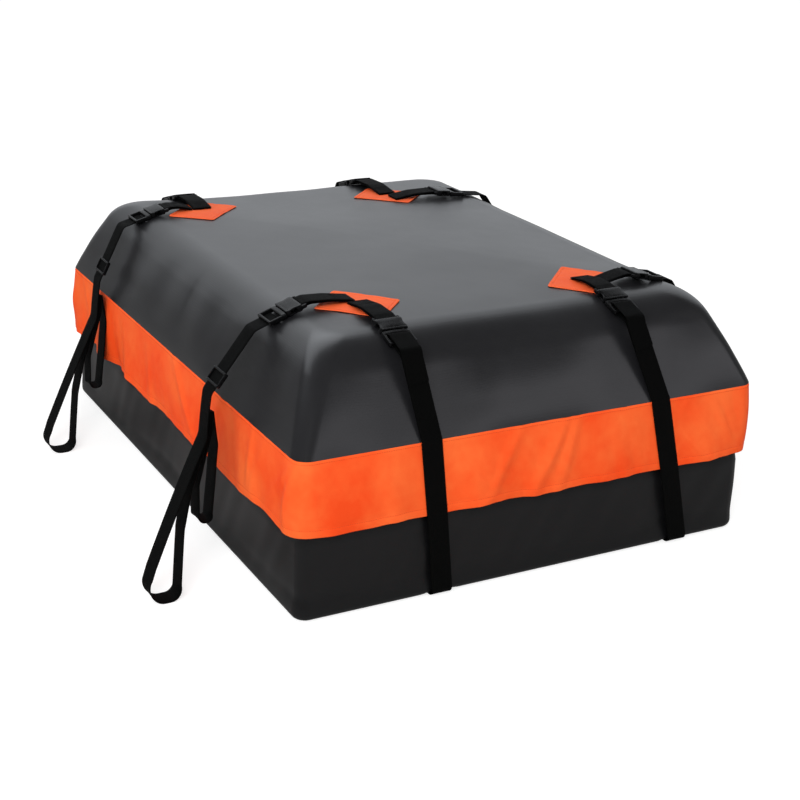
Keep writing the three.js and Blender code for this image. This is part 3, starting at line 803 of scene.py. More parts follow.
class Finishes:
    """Every finish of the bag, made once."""

    def __init__(self) -> None:
        """Makes the materials."""
        self.cover = Tarpaulin("cover_tarpaulin", (0.0120, 0.0120, 0.0135), 0.31).material()
        # Painted shade: the tub is the cover's tarpaulin given a darker colour, standing in for the lower tub
        # lying darker under the lights.
        self.tub = Tarpaulin("tub_tarpaulin", (0.0045, 0.0045, 0.0050), 0.42, gloss=0.30).material()
        # The flap's and the patch's second colours are painted highlights: a lighter, yellower orange for lit
        # folds, the first colour a deeper orange for shaded ones.
        self.flap = CoatedCloth("flap_cloth", (0.950, 0.078, 0.013), (1.000, 0.155, 0.034)).material()
        self.patch = CoatedCloth("patch_cloth", (0.920, 0.120, 0.034), (1.000, 0.165, 0.050)).material()
        self.webbing = Webbing("harness_webbing", (0.0014, 0.0015, 0.0014)).material()
        self.plastic = Moulded("buckle_plastic", (0.0025, 0.0025, 0.0028), 0.24, gloss=0.13).material()
        self.tape = CoatedCloth("zip_tape", (0.005, 0.005, 0.0055), (0.008, 0.008, 0.0085), 0.75).material()
        self.coil = Moulded("zip_coil", (0.012, 0.012, 0.013), 0.40).material()
        self.metal = Moulded("zip_metal", (0.030, 0.030, 0.032), 0.36, 0.9).material()
        self.dark_thread = Thread("dark_thread", (0.006, 0.006, 0.007)).material()
        self.bright_thread = Thread("bright_thread", (0.750, 0.085, 0.018)).material()


def stitch_row(parts: MeshParts, line: Array, normals: Array, pitch: float, length: float,
               thick: float) -> None:
    """Adds a row of stitches: each a small six-sided spindle laid along the line, sunk by half its depth.

    Args:
        parts: where the stitches go.
        line: (n, 3) points of the seam, on the cloth.
        normals: (n, 3) directions out of the cloth.
        pitch: distance from one stitch to the next.
        length: a stitch's length.
        thick: a stitch's thickness.
    """
    both = spaced(np.concatenate([line, normals], 1), pitch)
    at, out = both[:, :3], unit(both[:, 3:])
    along = unit(np.gradient(at, axis=0))
    out = unit(out - along * (out * along).sum(1, keepdims=True))
    across = np.cross(along, out)
    turn = (np.arange(6) * np.pi / 3)[None, :, None]
    around = across[:, None] * np.cos(turn) + out[:, None] * (np.sin(turn) * 0.8 + 0.25)
    rings = [at[:, None] + along[:, None] * length * place + around * thick / 2 * size
             for place, size in ((-0.5, 0.35), (-0.28, 1.0), (0.28, 1.0), (0.5, 0.35))]
    parts.bars(np.stack(rings, 1))


def tooth_row(parts: MeshParts, line: Array, out: Array, pitch: float, thick: float = 0.0018) -> None:
    """Adds the teeth of one side of a coil: short six-sided bars that stand across the line.

    Args:
        parts: where the teeth go.
        line: (n, 3) points of the coil's middle.
        out: (n, 3) directions out of the wall.
        pitch: distance from one tooth to the next.
        thick: a tooth's thickness.
    """
    both = spaced(np.concatenate([line, out], 1), pitch)
    at, normal = both[:, :3], unit(both[:, 3:])
    along = unit(np.gradient(at, axis=0))
    turn = (np.arange(6) * np.pi / 3)[None, :, None]
    around = along[:, None] * np.cos(turn) + normal[:, None] * np.sin(turn)
    rings = [at[:, None] + np.array([0, 0, rise]) + around * thick / 2 * size
             for rise, size in ((-0.0018, 0.6), (-0.0014, 1.0), (0.0014, 1.0), (0.0018, 0.6))]
    parts.bars(np.stack(rings, 1))


# Soft shells


@dataclass(frozen=True)
class Shoulder:
    """The cover's section over one side: a sloped wall that rolls into the top."""

    half: float
    inset: float
    roll: float

    @property
    def slope(self) -> float:
        """The slope's angle from level, in radians."""
        return float(np.arctan2(BAG.shoulder - BAG.seam, self.inset))

    @property
    def start(self) -> float:
        """How far out the level top ends and the roll starts."""
        return float(self.half - self.inset - self.roll * np.tan(self.slope / 2))

    def section(self, slope_rows: int, roll_rows: int) -> Array:
        """Points (outward, z) from the seam's height up to the top's edge.

        Args:
            slope_rows: points on the straight slope, the last of them left to the roll.
            roll_rows: points on the roll.

        Returns:
            (slope_rows + roll_rows, 2) points.
        """
        angle = self.slope * (1 - np.linspace(0, 1, roll_rows))
        arc = np.stack([self.start + self.roll * np.sin(angle),
                        BAG.shoulder - self.roll * (1 - np.cos(angle))], 1)
        share = np.linspace(0, 1, slope_rows, endpoint=False)[:, None]
        foot = np.array([[self.half, BAG.seam]])
        return np.concatenate([foot + (arc[:1] - foot) * share, arc])


SIDE_SHOULDER = Shoulder(BAG.half_width, BAG.side_inset, BAG.side_roll)
END_SHOULDER = Shoulder(BAG.half_length, BAG.end_inset, BAG.end_roll)


def top_height(x: Array, y: Array) -> Array:
    """Height of the crowned top inside the shoulders."""
    share = np.minimum(1, np.maximum(np.abs(x) / SIDE_SHOULDER.start, np.abs(y) / END_SHOULDER.start))
    return BAG.shoulder + BAG.crown * (1 - share**2)


class Line:
    """A strap's line over one side of the bag, and the buckle's own axes on it."""

    def __init__(self, corner: Corner, kind: str) -> None:
        """Finds the line's places.

        Args:
            corner: the corner that it belongs to.
            kind: "end" for the long strap's line, "side" for the side strap's.
        """
        self.corner = corner
        self.kind = kind
        self.patch = np.array([corner.side.value * (BAG.half_width - corner.patch_side),
                               corner.end.value * (BAG.half_length - corner.patch_end)])
        if kind == "end":
            self.section, self.tilt = END_SHOULDER, np.radians(18)
            self.mouth = BAG.half_length - 0.110
            self.sewn = abs(self.patch[1]) + corner.end_start
            self.middle = self.patch[0]
        else:
            self.section, self.tilt = SIDE_SHOULDER, np.radians(corner.side_tilt)
            self.mouth = BAG.half_width - corner.side_mouth
            self.sewn = abs(self.patch[0]) + corner.side_start
            self.middle = self.patch[1] + corner.offset
        self.hang = BAG.half_width + corner.stand

    @property
    def name(self) -> str:
        """The line's name as the CAD nodes spell it."""
        return f"{self.kind}_{self.corner.name}"

    @property
    def across(self) -> Array:
        """The direction across the strap."""
        return np.array([1.0, 0, 0]) if self.kind == "end" else np.array([0, 1.0, 0])

    def place(self, h: Array, z: Array, across: Array = 0.0) -> Array:
        """Points of the bag on the strap's line.

        The long strap leans evenly from the shoulder to the floor; the side strap swings to the front as it
        falls, by its fall to the power 1.4.

        Args:
            h: distances outwards from the bag's middle.
            z: heights.
            across: distances across the strap.

        Returns:
            (..., 3) places.
        """
        h, z, across = np.broadcast_arrays(np.asarray(h, float), z, across)
        if self.kind == "end":
            lean = self.corner.lean * np.maximum(0, 1 - z / 0.413)
            return np.stack([self.patch[0] + lean + across, self.corner.end.value * h, z], -1)
        swing = self.corner.swing * np.maximum(0, 1 - z / 0.313) ** 1.4
        return np.stack([self.corner.side.value * h, self.middle - swing + across, z], -1)

    def hard(self, h: Array, z: Array, across: Array) -> Array:
        """Points of a hard piece, which doesn't lean or swing with the strap.

        Args:
            h: distances outwards.
            z: heights.
            across: distances across the strap.

        Returns:
            (..., 3) places.
        """
        placed = self.place(h, np.full_like(z, BAG.shoulder), across)
        placed[..., 2] = z
        return placed

    def trace(self, corners: list[tuple[float, ...]], pitch: float, turn_step: float = 7.0) -> Array:
        """Places along a path of the strap.

        Args:
            corners: (h, z) or (h, z, radius) for each of its corners.
            pitch: the longest step.
            turn_step: degrees of arc between points.

        Returns:
            (n, 3) places.
        """
        section = filled(rounded_path(corners, turn_step), pitch)
        return self.place(section[:, 0], section[:, 1])

    def frame(self, u: Array, w: Array) -> tuple[Array, Array]:
        """Turns places in the buckle's own axes to places of the bag.

        Args:
            u: distances outwards along the webbing, from the buckle's mouth.
            w: distances off the cover.

        Returns:
            The outward distance and the height.
        """
        touch_h = self.section.start + self.section.roll * np.sin(self.tilt)
        touch_z = BAG.shoulder - self.section.roll * (1 - np.cos(self.tilt))
        base = touch_z - (self.mouth - touch_h) * np.tan(self.tilt) + 0.0005
        h = self.mouth + u * np.cos(self.tilt) + w * np.sin(self.tilt)
        return h, base - u * np.sin(self.tilt) + w * np.cos(self.tilt)

    def lay(self, u: Array, v: Array, w: Array) -> Array:
        """Points of a hard piece drawn in the buckle's axes."""
        return self.hard(*self.frame(u, w), v)


LINES = {f"{kind}_{corner.name}": Line(corner, kind) for corner in CORNERS for kind in ("end", "side")}


def end_line(end: End, side: Side) -> Line:
    """The long strap's line at one corner."""
    return LINES[f"end_{end.name.lower()}_{side.name.lower()}"]


def strap_gap(x: Array, y: Array, z: Array) -> Array:
    """How far points on the bag's ends are from the nearest long strap's middle line.

    Args:
        x: places across.
        y: places along.
        z: heights.

    Returns:
        Distances, in the shape of x; one metre on the sides.
    """
    gap = np.full(np.shape(x), 1.0)
    for corner in CORNERS:
        line = LINES[f"end_{corner.name}"]
        middle = line.place(0.0, z)[..., 0]
        here = (y * corner.end.value > 0.35) & (np.abs(x) < BAG.half_width - 0.02)
        gap = np.where(here, np.minimum(gap, np.abs(x - middle)), gap)
    return gap


def harness_gap(x: Array, y: Array) -> Array:
    """How far points are, on the plan, from the nearest patch, buckle or strap over the shoulder.

    Args:
        x: places across.
        y: places along.

    Returns:
        Distances, in the shape of x.
    """
    gap = np.full(np.shape(x), 1.0)
    for line in LINES.values():
        start = line.patch if line.kind == "end" else np.array([line.patch[0], line.middle])
        finish = start.copy()
        axis = 1 if line.kind == "end" else 0
        finish[axis] = np.sign(finish[axis]) * (line.section.half + 0.01)
        run = finish - start
        share = np.clip(((x - start[0]) * run[0] + (y - start[1]) * run[1]) / (run @ run), 0, 1)
        gap = np.minimum(gap, np.hypot(x - start[0] - share * run[0], y - start[1] - share * run[1]))
    return gap


@dataclass
class CoverShell:
    """The tarpaulin cover: a wall behind the flap, a lip at the seam, slopes, rolled shoulders and a top."""

    finish: Material
    sag: float = 0.0016
    bulge: float = 0.0085
    slope_rows: int = 22
    roll_rows: int = 20
    top_rows: int = 42
    arch_top: float = 0.405

    def surface(self) -> Array:
        """Rings of points from the wall's foot to near the middle of the top.

        Each ring is a rounded rectangle whose height is blended from the side's section to the end's by the
        squares of its outward normal, and the rolls stand fuller by the hip near each corner.

        Returns:
            (rows, columns, 3) places.
        """
        side = SIDE_SHOULDER.section(self.slope_rows, self.roll_rows)
        end = END_SHOULDER.section(self.slope_rows, self.roll_rows)
        share = np.linspace(0, 1, len(side))[:, None]
        radius = BAG.corner + (BAG.top_corner - BAG.corner) * share
        shape = rounded_outline(side[:, :1], end[:, :1], radius)
        z = side[:, 1:] * shape["nx"] ** 2 + end[:, 1:] * shape["ny"] ** 2
        rise = np.sin(np.pi * np.linspace(0, 1, len(side)) ** 1.3)[:, None]
        for corner in CORNERS:
            away = np.hypot(corner.side.value * side[:, :1] - shape["x"],
                            corner.end.value * end[:, :1] - shape["y"])
            z += corner.hip * rise * np.exp(-((away / 0.10) ** 2))
        rings = [np.stack([shape["x"], shape["y"], z], -1)]
        inner = np.linspace(1, 0, self.top_rows + 2)[1:-1, None]
        level = rounded_outline(SIDE_SHOULDER.start * inner, END_SHOULDER.start * inner,
                                BAG.top_corner * inner)
        flat = BAG.shoulder + BAG.crown * (1 - inner**2) + 0 * level["x"]
        rings.append(np.stack([level["x"], level["y"], flat], -1))
        return np.concatenate(rings)

    def relief(self, rings: Array) -> Array:
        """Presses the surface in by soft hollows, shallow where the harness lies on it.

        On the top the cloth sags straight down between its edges. On the slopes it arches out between the
        straps, more on the ends than on the sides, and is pressed in by slow waves that run with the height.

        Args:
            rings: (rows, columns, 3) places.

        Returns:
            The moved places, in the same shape.
        """
        x, y, z = np.moveaxis(rings, -1, 0)
        free = 0.15 + 0.85 * smooth_step(harness_gap(x, y), 0.045, 0.13)
        broad = soft_field(x, y, (0.16, 0.55), 14, 3)
        small = soft_field(x, y, (0.05, 0.14), 16, 8)
        hollow = self.sag * (0.62 + 0.5 * broad + 0.05 * small)
        around = np.arctan2(y / BAG.half_length, x / BAG.half_width) * 0.62
        folds = soft_field(around, z * 0.35, (0.09, 0.30), 12, 21)
        on_slope = smooth_step(z, BAG.seam + 0.004, BAG.seam + 0.05) * (1 - smooth_step(z, 0.40, 0.439))
        press = np.maximum(0, 0.0020 + 0.0008 * folds) * on_slope
        edge = smooth_step(z, BAG.seam + 0.01, BAG.shoulder - 0.01)
        out = unit(np.stack([x * (np.abs(x) > 0.30), y * (np.abs(y) > 0.40), 0 * z], -1))
        arch = np.sin(np.pi * np.clip((z - BAG.seam) / (self.arch_top - BAG.seam), 0, 1))
        on_end = smooth_step(np.abs(y) - np.abs(x), 0.08, 0.18)
        free_slope = smooth_step(harness_gap(x, y), 0.05, 0.16)
        bulge = self.bulge * (0.45 + 0.55 * on_end) * arch * free_slope
        moved = rings + out * (bulge - press * free)[..., None]
        moved[..., 2] -= np.maximum(0, hollow) * edge * free
        return moved

    def build(self) -> Piece:
        """Makes the piece and lets it stand for top_cover.

        Returns:
            The piece.
        """
        upper = self.relief(self.surface())
        wall_z = np.array([0.2153, 0.235, 0.262, 0.2815, 0.2842])[:, None]
        inset = np.array([0.0, 0.0, 0.0, 0.0, 0.0132])[:, None]
        wall = rounded_outline(BAG.wall_x + inset, BAG.wall_y + inset, BAG.wall_corner + inset)
        rings = np.concatenate([np.stack([wall["x"], wall["y"], wall_z + 0 * wall["x"]], -1), upper])
        parts = MeshParts()
        parts.sweep(rings, round_length(upper[0, :, 0], upper[0, :, 1]), run_along(rings[:, 0]))
        piece = parts.build("cover_shell", self.finish, 50)
        dress(piece, "root", "cover_tarpaulin", "top_cover")
        return piece


@dataclass
class TubShell:
    """The tarpaulin tub: a level base with a soft edge, a bulged wall and an upright band behind the flap."""

    finish: Material
    bulge_top: float = 0.134
    band_foot: float = 0.187
    recess: float = 0.0024
    wave: float = 0.0040
    small_wave: float = 0.0011
    slump: float = 0.0022
    slump_at: float = 0.035

    def surface(self) -> dict[str, Array]:
        """The rounded outline of each row, from near the base's middle, round its edge and up to the top.

        The wall bulges out by the tub's bulge and draws in again behind the flap's hem.

        Returns:
            x, y, z and the outward normal nx, ny, each (rows, columns).
        """
        angle = np.linspace(0, np.pi / 2, 9)
        base = np.linspace(0.03, 0.965, 26)
        edge_inset = BAG.tub_edge * (1 - np.sin(angle)) - BAG.tub_bulge
        low_a, low_b = BAG.wall_x - edge_inset[0], BAG.wall_y - edge_inset[0]
        inset = np.concatenate([edge_inset, np.full(20, -BAG.tub_bulge),
                                np.linspace(-BAG.tub_bulge, 0, 9)[1:], [0, 0, 0]])
        z = np.concatenate([np.zeros(len(base)), BAG.tub_edge * (1 - np.cos(angle)),
                            np.linspace(BAG.tub_edge, self.bulge_top, 21)[1:],
                            np.linspace(self.bulge_top, self.band_foot, 9)[1:], [0.196, 0.206, 0.2147]])
        a = np.concatenate([low_a * base, BAG.wall_x - inset])[:, None]
        b = np.concatenate([low_b * base, BAG.wall_y - inset])[:, None]
        radius = np.concatenate([0.012 * base, np.maximum(BAG.wall_corner - inset, 0.010)])[:, None]
        shape = rounded_outline(a, b, radius)
        return shape | {"z": z[:, None] + 0 * shape["x"]}

    @staticmethod
    def under_strap(side: Side, y: Array) -> Array:
        """Where one long strap's middle lies across under the base, at places along it."""
        front, back = (end_line(end, side).place(0.0, 0.0)[0] for end in End)
        return front + (back - front) * (y + BAG.half_length) / (2 * BAG.half_length)

    def build(self) -> Piece:
        """Makes the piece and lets it stand for lower_tub.

        Slow waves and a slump press the wall in, and the base has a shallow channel over each long strap.

        Returns:
            The piece.
        """
        shape = self.surface()
        x, y, z = shape["x"], shape["y"], shape["z"]
        around = round_length(x[-1], y[-1])
        s = np.broadcast_to(around[:-1], x.shape)
        total = around[-1]
        waves = 0.5 + 0.5 * soft_waves(s + 0.25 * z, total, 12, 6, 26, 5)
        small = 0.5 + 0.5 * soft_waves(s - 0.6 * z, total, 14, 30, 80, 6)
        belly = smooth_step(z, 0.006, 0.05) * (1 - smooth_step(z, 0.15, self.band_foot))
        low = self.slump_at + 0.008 * soft_waves(s, total, 6, 3, 12, 9)
        slump = self.slump * np.exp(-((z - low) / 0.012) ** 2) * (0.4 + 0.6 * waves)
        press = (self.wave * waves + self.small_wave * small + slump) * belly
        x, y = x - shape["nx"] * press, y - shape["ny"] * press
        inside = np.minimum(BAG.wall_x + 0.002 - np.abs(x), BAG.wall_y + 0.002 - np.abs(y))
        raised = self.recess * smooth_step(inside, 0.0, 0.02) * (z < 1e-6)
        gap = np.minimum(*(np.abs(x - self.under_strap(side, y)) for side in Side))
        channel = self.recess * (1 - smooth_step(gap, 0.021, 0.032)) * (1 - smooth_step(z, 0.001, 0.012))
        rings = np.stack([x, y, z + np.maximum(raised, channel)], -1)
        parts = MeshParts()
        parts.sweep(rings, around, run_along(rings[:, 0]))
        piece = parts.build("tub_shell", self.finish, 50)
        dress(piece, "root", "tub_tarpaulin", "lower_tub")
        return piece


@dataclass
class StormFlap:
    """The bright flap over the zip: a closed band of cloth hung from the seam, its hem turned and sewn."""

    finish: Material
    thread: Material
    thickness: float = 0.0011
    fold: float = 0.013
    rows: int = 34
    crease_count: int = 46
    flare: float = 0.0030
    wave: float = 0.0100
    ripple: float = 0.0009
    swell: float = 0.0034
    hem_lift: float = 0.0034

    def offset(self, s: Array, total: float, x: Array, y: Array, z: Array, drop: Array) -> Array:
        """How far the cloth stands out: a steady flare and waves that grow towards the hem.

        Waves are held down under the long straps and on the bag's corners.

        Args:
            s: distances round the seam.
            total: the whole way round.
            x: places across.
            y: places along.
            z: heights.
            drop: shares of the way down, from 0 at the seam to 1 at the hem.

        Returns:
            Distances out, in the shape of s.
        """
        at_strap = smooth_step(strap_gap(x, y, z), 0.024, 0.085)
        from_side, from_end = BAG.half_width - np.abs(x), BAG.half_length - np.abs(y)
        near_corner = np.maximum(0, 0.06 - np.maximum(from_side, from_end))
        on_corner = smooth_step(np.minimum(from_side, from_end) - 2 * near_corner, -0.1, 0.02)
        free = at_strap * (0.35 + 0.65 * on_corner)
        wave = 0.5 + 0.5 * soft_waves(s, total, 14, 16, 34, 31)
        ripple = soft_waves(s + 0.3 * z, total, 16, 50, 110, 12)
        swell = 0.5 + 0.5 * soft_waves(s, total, 10, 5, 14, 77)
        waves = (self.wave * wave * drop**1.3 + self.ripple * ripple * drop) * free
        belly = np.sin(np.pi * np.clip(drop, 0, 1))
        ridges = self.creases(s, z, total) * (0.4 + 0.6 * belly)
        fullness = (self.swell * swell + 0.0040 * (1 - on_corner)) * belly
        return self.flare * drop**1.2 + waves + (fullness + ridges) * at_strap

    def creases(self, s: Array, z: Array, total: float) -> Array:
        """Slanted creases: soft ridges, each at its own place, slant, width and height, drawn at random.

        Args:
            s: distances round the seam.
            z: heights.
            total: the whole way round.

        Returns:
            Heights of the ridges, in the shape of s.
        """
        rng = np.random.default_rng(61)
        height = np.zeros_like(s)
        draws = [rng.uniform(low, high, self.crease_count)
                 for low, high in ((0, total), (-1.1, 1.1), (0.007, 0.018), (0.0015, 0.0055))]
        for place, slant, width, rise in zip(*draws):
            across = s - place - slant * (BAG.seam - z)
            across -= total * np.round(across / total)
            height = np.maximum(height, rise * np.exp(-((across / width) ** 2)))
        return height

    def build(self) -> Piece:
        """Makes the piece with its stitched hem and lets it stand for storm_flap.

        Returns:
            The piece.
        """
        above = np.linspace(0, 0.9, self.rows - 9, endpoint=False)
        drop = np.concatenate([above, np.linspace(0.9, 1, 9)])[:, None]
        size = np.ones_like(drop)
        shape = rounded_outline(BAG.half_width * size, BAG.half_length * size, BAG.corner * size,
                                side_steps=(190, 240))
        around = round_length(shape["x"][0], shape["y"][0])
        total = around[-1]
        s = np.broadcast_to(around[:-1], shape["x"].shape)
        off_strap = smooth_step(strap_gap(shape["x"], shape["y"], BAG.hem), 0.02, 0.07)
        lift = self.hem_lift * (0.5 + 0.5 * soft_waves(s, total, 12, 8, 26, 44)) * off_strap
        z = BAG.seam - 0.0004 - (BAG.flap_drop - 0.0004 - lift) * drop
        out = self.offset(s, total, shape["x"], shape["y"], z, drop)
        length = BAG.flap_drop * (1 - drop)
        pinch = 0.0006 * np.exp(-((length - self.fold) / 0.0016) ** 2)
        thick = self.thickness + 0.0009 * (1 - smooth_step(length, self.fold, self.fold + 0.004))
        plan, way = (np.stack([shape[a], shape[b], 0 * s], -1) for a, b in (("x", "y"), ("nx", "ny")))
        height = z[..., None] * np.array([0, 0, 1.0])
        outer, inner = (plan + height + way * distance[..., None] for distance in (out - pinch, out - thick))
        hem = (outer[-1:] + inner[-1:]) / 2 - np.array([0, 0, 0.0007])
        top = (outer[:1] + inner[:1]) / 2 + np.array([0, 0, 0.0002])
        rings = np.concatenate([outer, hem, inner[::-1], top, outer[:1]])
        parts = MeshParts()
        parts.sweep(rings, around, run_along(rings[:, 0]), caps=False)
        piece = parts.build("flap_cloth", self.finish, 60)
        weld(piece)
        dress(piece, "root", "flap_cloth", "storm_flap")
        stitches = MeshParts()
        for row in (int(np.argmin(np.abs(length[:, 0] - self.fold))), 1):
            line, facing = (closed(ring) for ring in (outer[row], way[row]))
            stitch_row(stitches, line + facing * THREAD_LIFT, facing, 0.0042, 0.0032, 0.0009)
        rows = stitches.build("flap_stitches", self.thread)
        dress(rows, "root", "flap_cloth")
        return piece


def weld(piece: Piece, near: float = 1e-6) -> None:
    """Joins points of a piece that lie on each other, and turns its faces outwards.

    Args:
        piece: the piece.
        near: how close points have to be to be joined.
    """
    shape = bmesh.new()
    shape.from_mesh(piece.data)
    bmesh.ops.remove_doubles(shape, verts=shape.verts, dist=near)
    bmesh.ops.recalc_face_normals(shape, faces=shape.faces)
    shape.to_mesh(piece.data)
    shape.free()


# Webbing


@dataclass(frozen=True)
class Tape:
    """A webbing's cross-section."""

    width: float = 0.038
    thick: float = 0.0016

    def ring(self) -> tuple[Array, Array, Array]:
        """The section's outline.

        Returns:
            Distance across, height, and texture distance with the closing point's own at the end.
        """
        half, rise = self.width / 2, self.thick / 2
        top = np.linspace(-half + 0.0006, half - 0.0006, 7)
        across = np.concatenate([top, [half, half], top[::-1], [-half, -half]])
        height = np.concatenate([np.full(7, rise), [rise * 0.45, -rise * 0.45],
                                 np.full(7, -rise), [-rise * 0.45, rise * 0.45]])
        return across, height, round_length(across, height)


WEB = Tape()


def ribbon(parts: MeshParts, middle: Array, across: Array, seed: int) -> tuple[Array, Array]:
    """Adds a webbing along a line of points.

    Args:
        parts: where it goes.
        middle: (n, 3) points of its middle line.
        across: the direction that its width follows, made square to the line at each point.
        seed: the seed of the slow bow that keeps it from lying flat as a plate.

    Returns:
        The unit vectors across and out of the webbing at each point.
    """
    along = unit(np.gradient(middle, axis=0))
    wide = unit(across - along * (along @ across)[:, None])
    out = np.cross(along, wide)
    run = run_along(middle)
    u, w, texture = WEB.ring()
    bow = 0.00035 * soft_waves(run, max(run[-1], 0.3), 5, 1, 9, seed)
    height = w[None] + bow[:, None] * (1 - (2 * u / WEB.width) ** 2)[None]
    rings = middle[:, None] + wide[:, None] * u[None, :, None] + out[:, None] * height[..., None]
    parts.sweep(rings, texture, run)
    return wide, out


def sewn_box(parts: MeshParts, place: Face, u0: float, u1: float, half: float, cross: bool = True) -> None:
    """Adds a box of stitches with a cross in it, drawn on a webbing.

    Args:
        parts: where the stitches go.
        place: a function of arrays (along, across) that gives points and normals.
        u0: the box's start along the webbing.
        u1: its end.
        half: half its width.
        cross: whether the two diagonals are sewn too.
    """
    corners = [(u0, -half), (u1, -half), (u1, half), (u0, half), (u0, -half)]
    if cross:
        corners += [(u1, half), (u1, -half), (u0, half)]
    for (a, b), (c, d) in zip(corners, corners[1:]):
        share = np.linspace(0, 1, 12)
        points, normals = place(a + (c - a) * share, b + (d - b) * share)
        stitch_row(parts, points, normals, 0.0034, 0.0027, 0.0008)


def on_strap(middle: Array, wide: Array, out: Array, far_end: bool, height: float) -> Face:
    """A function that places (along, across) on a strap's face.

    Args:
        middle: (n, 3) points of its middle line.
        wide: (n, 3) directions across it.
        out: (n, 3) directions out of it.
        far_end: whether along is counted from its last point.
        height: how far off the middle the face lies, below zero for the other face.

    Returns:
        The function, which gives points and normals.
    """
    if far_end:
        middle, wide, out = middle[::-1], wide[::-1], out[::-1]
    run = run_along(middle)

    def place(along: Array, across: Array) -> tuple[Array, Array]:
        """Points on the face and the normals there."""
        at, side, normal = (sampled(vectors, run, along) for vectors in (middle, wide, out))
        return at + side * across[:, None] + normal * height, normal * np.sign(height)

    return place


# The patch's section from its underside round its edge to its top: inset and rise, in millimetres
PATCH_SECTION = np.array([(35, 0), (20, 0), (10, 0), (0.8, 0), (0, 0.3), (0, 1.0), (0.8, 1.4), (2.6, 1.5),
                          (4.4, 1.0), (6.0, 0.9), (7.8, 1.3), (11, 1.3), (16, 1.2), (24, 1.2), (34, 1.2),
                          (44, 1.2)])


@dataclass
class Patch:
    """A bright cloth patch sewn cornerwise on the cover, under a corner's two anchor straps."""

    corner: Corner
    finish: Material
    thread: Material
    long_side: float = 0.122
    short_side: float = 0.098
    edge_row: int = 4
    seam_row: int = 9

    def spot(self, p: Array, q: Array, lift: Array) -> Array:
        """Points over the crowned top.

        Args:
            p: distances along the patch's own first axis, at 45 degrees to the bag's.
            q: distances along its second axis.
            lift: heights off the cover.

        Returns:
            (..., 3) places.
        """
        centre = LINES[f"end_{self.corner.name}"].patch
        x = centre[0] + (p - q) * np.sqrt(0.5)
        y = centre[1] + (p + q) * np.sqrt(0.5)
        return np.stack([x, y, top_height(x, y) + lift], -1)

    def build(self) -> Piece:
        """Makes the patch, thicker at its turned-in edge, with a row of stitches inside it.

        Returns:
            The patch.
        """
        halves = (self.short_side / 2, self.long_side / 2)
        half_p, half_q = halves if self.corner.side.value * self.corner.end.value > 0 else halves[::-1]
        inset, rise = (PATCH_SECTION / 1000).T[..., None]
        radius = np.maximum(0.006 - inset, 0.0006)
        shape = rounded_outline(half_p - inset, half_q - inset, radius, 6, (20, 20))
        p, q = shape["x"], shape["y"]
        seed = seed_of(self.corner.name)
        pucker = 0.00035 * soft_field(p, q, (0.012, 0.05), 10, 5 + seed)
        slack = np.maximum(0, 0.0009 * soft_field(p, q, (0.05, 0.12), 6, 9 + seed) * (inset > 0.012))
        rings = self.spot(p, q, 0.0005 + rise + (pucker + slack) * (rise > 0.0004))
        parts = MeshParts()
        parts.sweep(rings, round_length(p[self.edge_row], q[self.edge_row]), run_along(rings[:, 0]))
        lay_flat(parts, p, q)
        piece = parts.build(f"patch_panel_{self.corner.name}", self.finish, 60)
        dress(piece, "root", "patch_cloth", f"patch_{self.corner.name}")
        stitches = MeshParts()
        line = closed(rings[self.seam_row])
        stitch_row(stitches, line, np.tile([0, 0, 1.0], (len(line), 1)), 0.0036, 0.0028, 0.0008)
        rows = dress(stitches.build(f"patch_stitches_{self.corner.name}", self.thread), "root", "patch_cloth")
        return piece


def seed_of(name: str) -> int:
    """A small number that is the same on every run for the same name."""
    return sum((index + 1) * ord(letter) for index, letter in enumerate(name)) % 97


def lay_flat(parts: MeshParts, u: Array, v: Array) -> None:
    """Lays the last swept part's texture flat.

    Args:
        parts: where the part is: its quads and its two fans come last.
        u: (rows, columns) texture places of its ring points.
        v: the other texture places.
    """
    flat = np.stack([u.ravel(), v.ravel()], 1)
    rows, columns = u.shape
    near = np.arange(columns)
    parts.uvs[-3] = flat[ring_quads(rows, columns)[0].ravel()]
    for part, row in ((-2, 0), (-1, rows - 1)):
        ring = flat[row * columns:(row + 1) * columns]
        fan = np.stack([np.broadcast_to(ring.mean(0), ring.shape), ring, ring[(near + 1) % columns]], 1)
        parts.uvs[part] = fan.reshape(-1, 2)


@dataclass
class Anchor:
    """A doubled webbing sewn on its patch and folded round the socket's bar."""

    line: Line
    finish: Material
    thread: Material

    def path(self) -> list[tuple[float, ...]]:
        """The path of both layers.

        Returns:
            Corner points (h, z, radius), from the lower layer's sewn end to the upper one's.
        """
        line = self.line
        inward = abs(line.middle) - WEB.width / 2
        spot = (inward, line.sewn) if line.kind == "end" else (line.sewn, inward)
        low = float(top_height(*spot)) + 0.0029
        turn, leave, under, over = -0.0328, -0.046, 0.0028, 0.0082
        middle = (line.sewn + line.frame(leave, under)[0]) / 2 + 0.004
        arch = low + 0.006
        return [(line.sewn, low), (middle, arch, 0.060), (*line.frame(leave, under), 0.020),
                (*line.frame(turn, under), 0.0014), (*line.frame(turn, over), 0.0014),
                (*line.frame(leave, over - 0.001), 0.020), (middle, arch + 0.003, 0.060),
                (line.sewn, low + 0.0024)]

    def build(self) -> Piece:
        """Makes the webbing with a sewn box where it lies on the patch.

        Returns:
            The webbing.
        """
        middle = self.line.trace(self.path(), 0.003, 15)
        parts = MeshParts()
        wide, out = ribbon(parts, middle, self.line.across, seed=seed_of(self.line.name))
        piece = parts.build(f"anchor_webbing_{self.line.name}", self.finish, 50)
        dress(piece, "root", "webbing", f"anchor_{self.line.name}")
        up = np.sign(out[-1, 2]) * (WEB.thick / 2 + THREAD_LIFT)
        stitches = MeshParts()
        sewn_box(stitches, on_strap(middle, wide, out, True, up), 0.005, 0.034, BOX_HALF)
        rows = stitches.build(f"anchor_stitches_{self.line.name}", self.thread)
        dress(rows, "root", "webbing")
        return piece


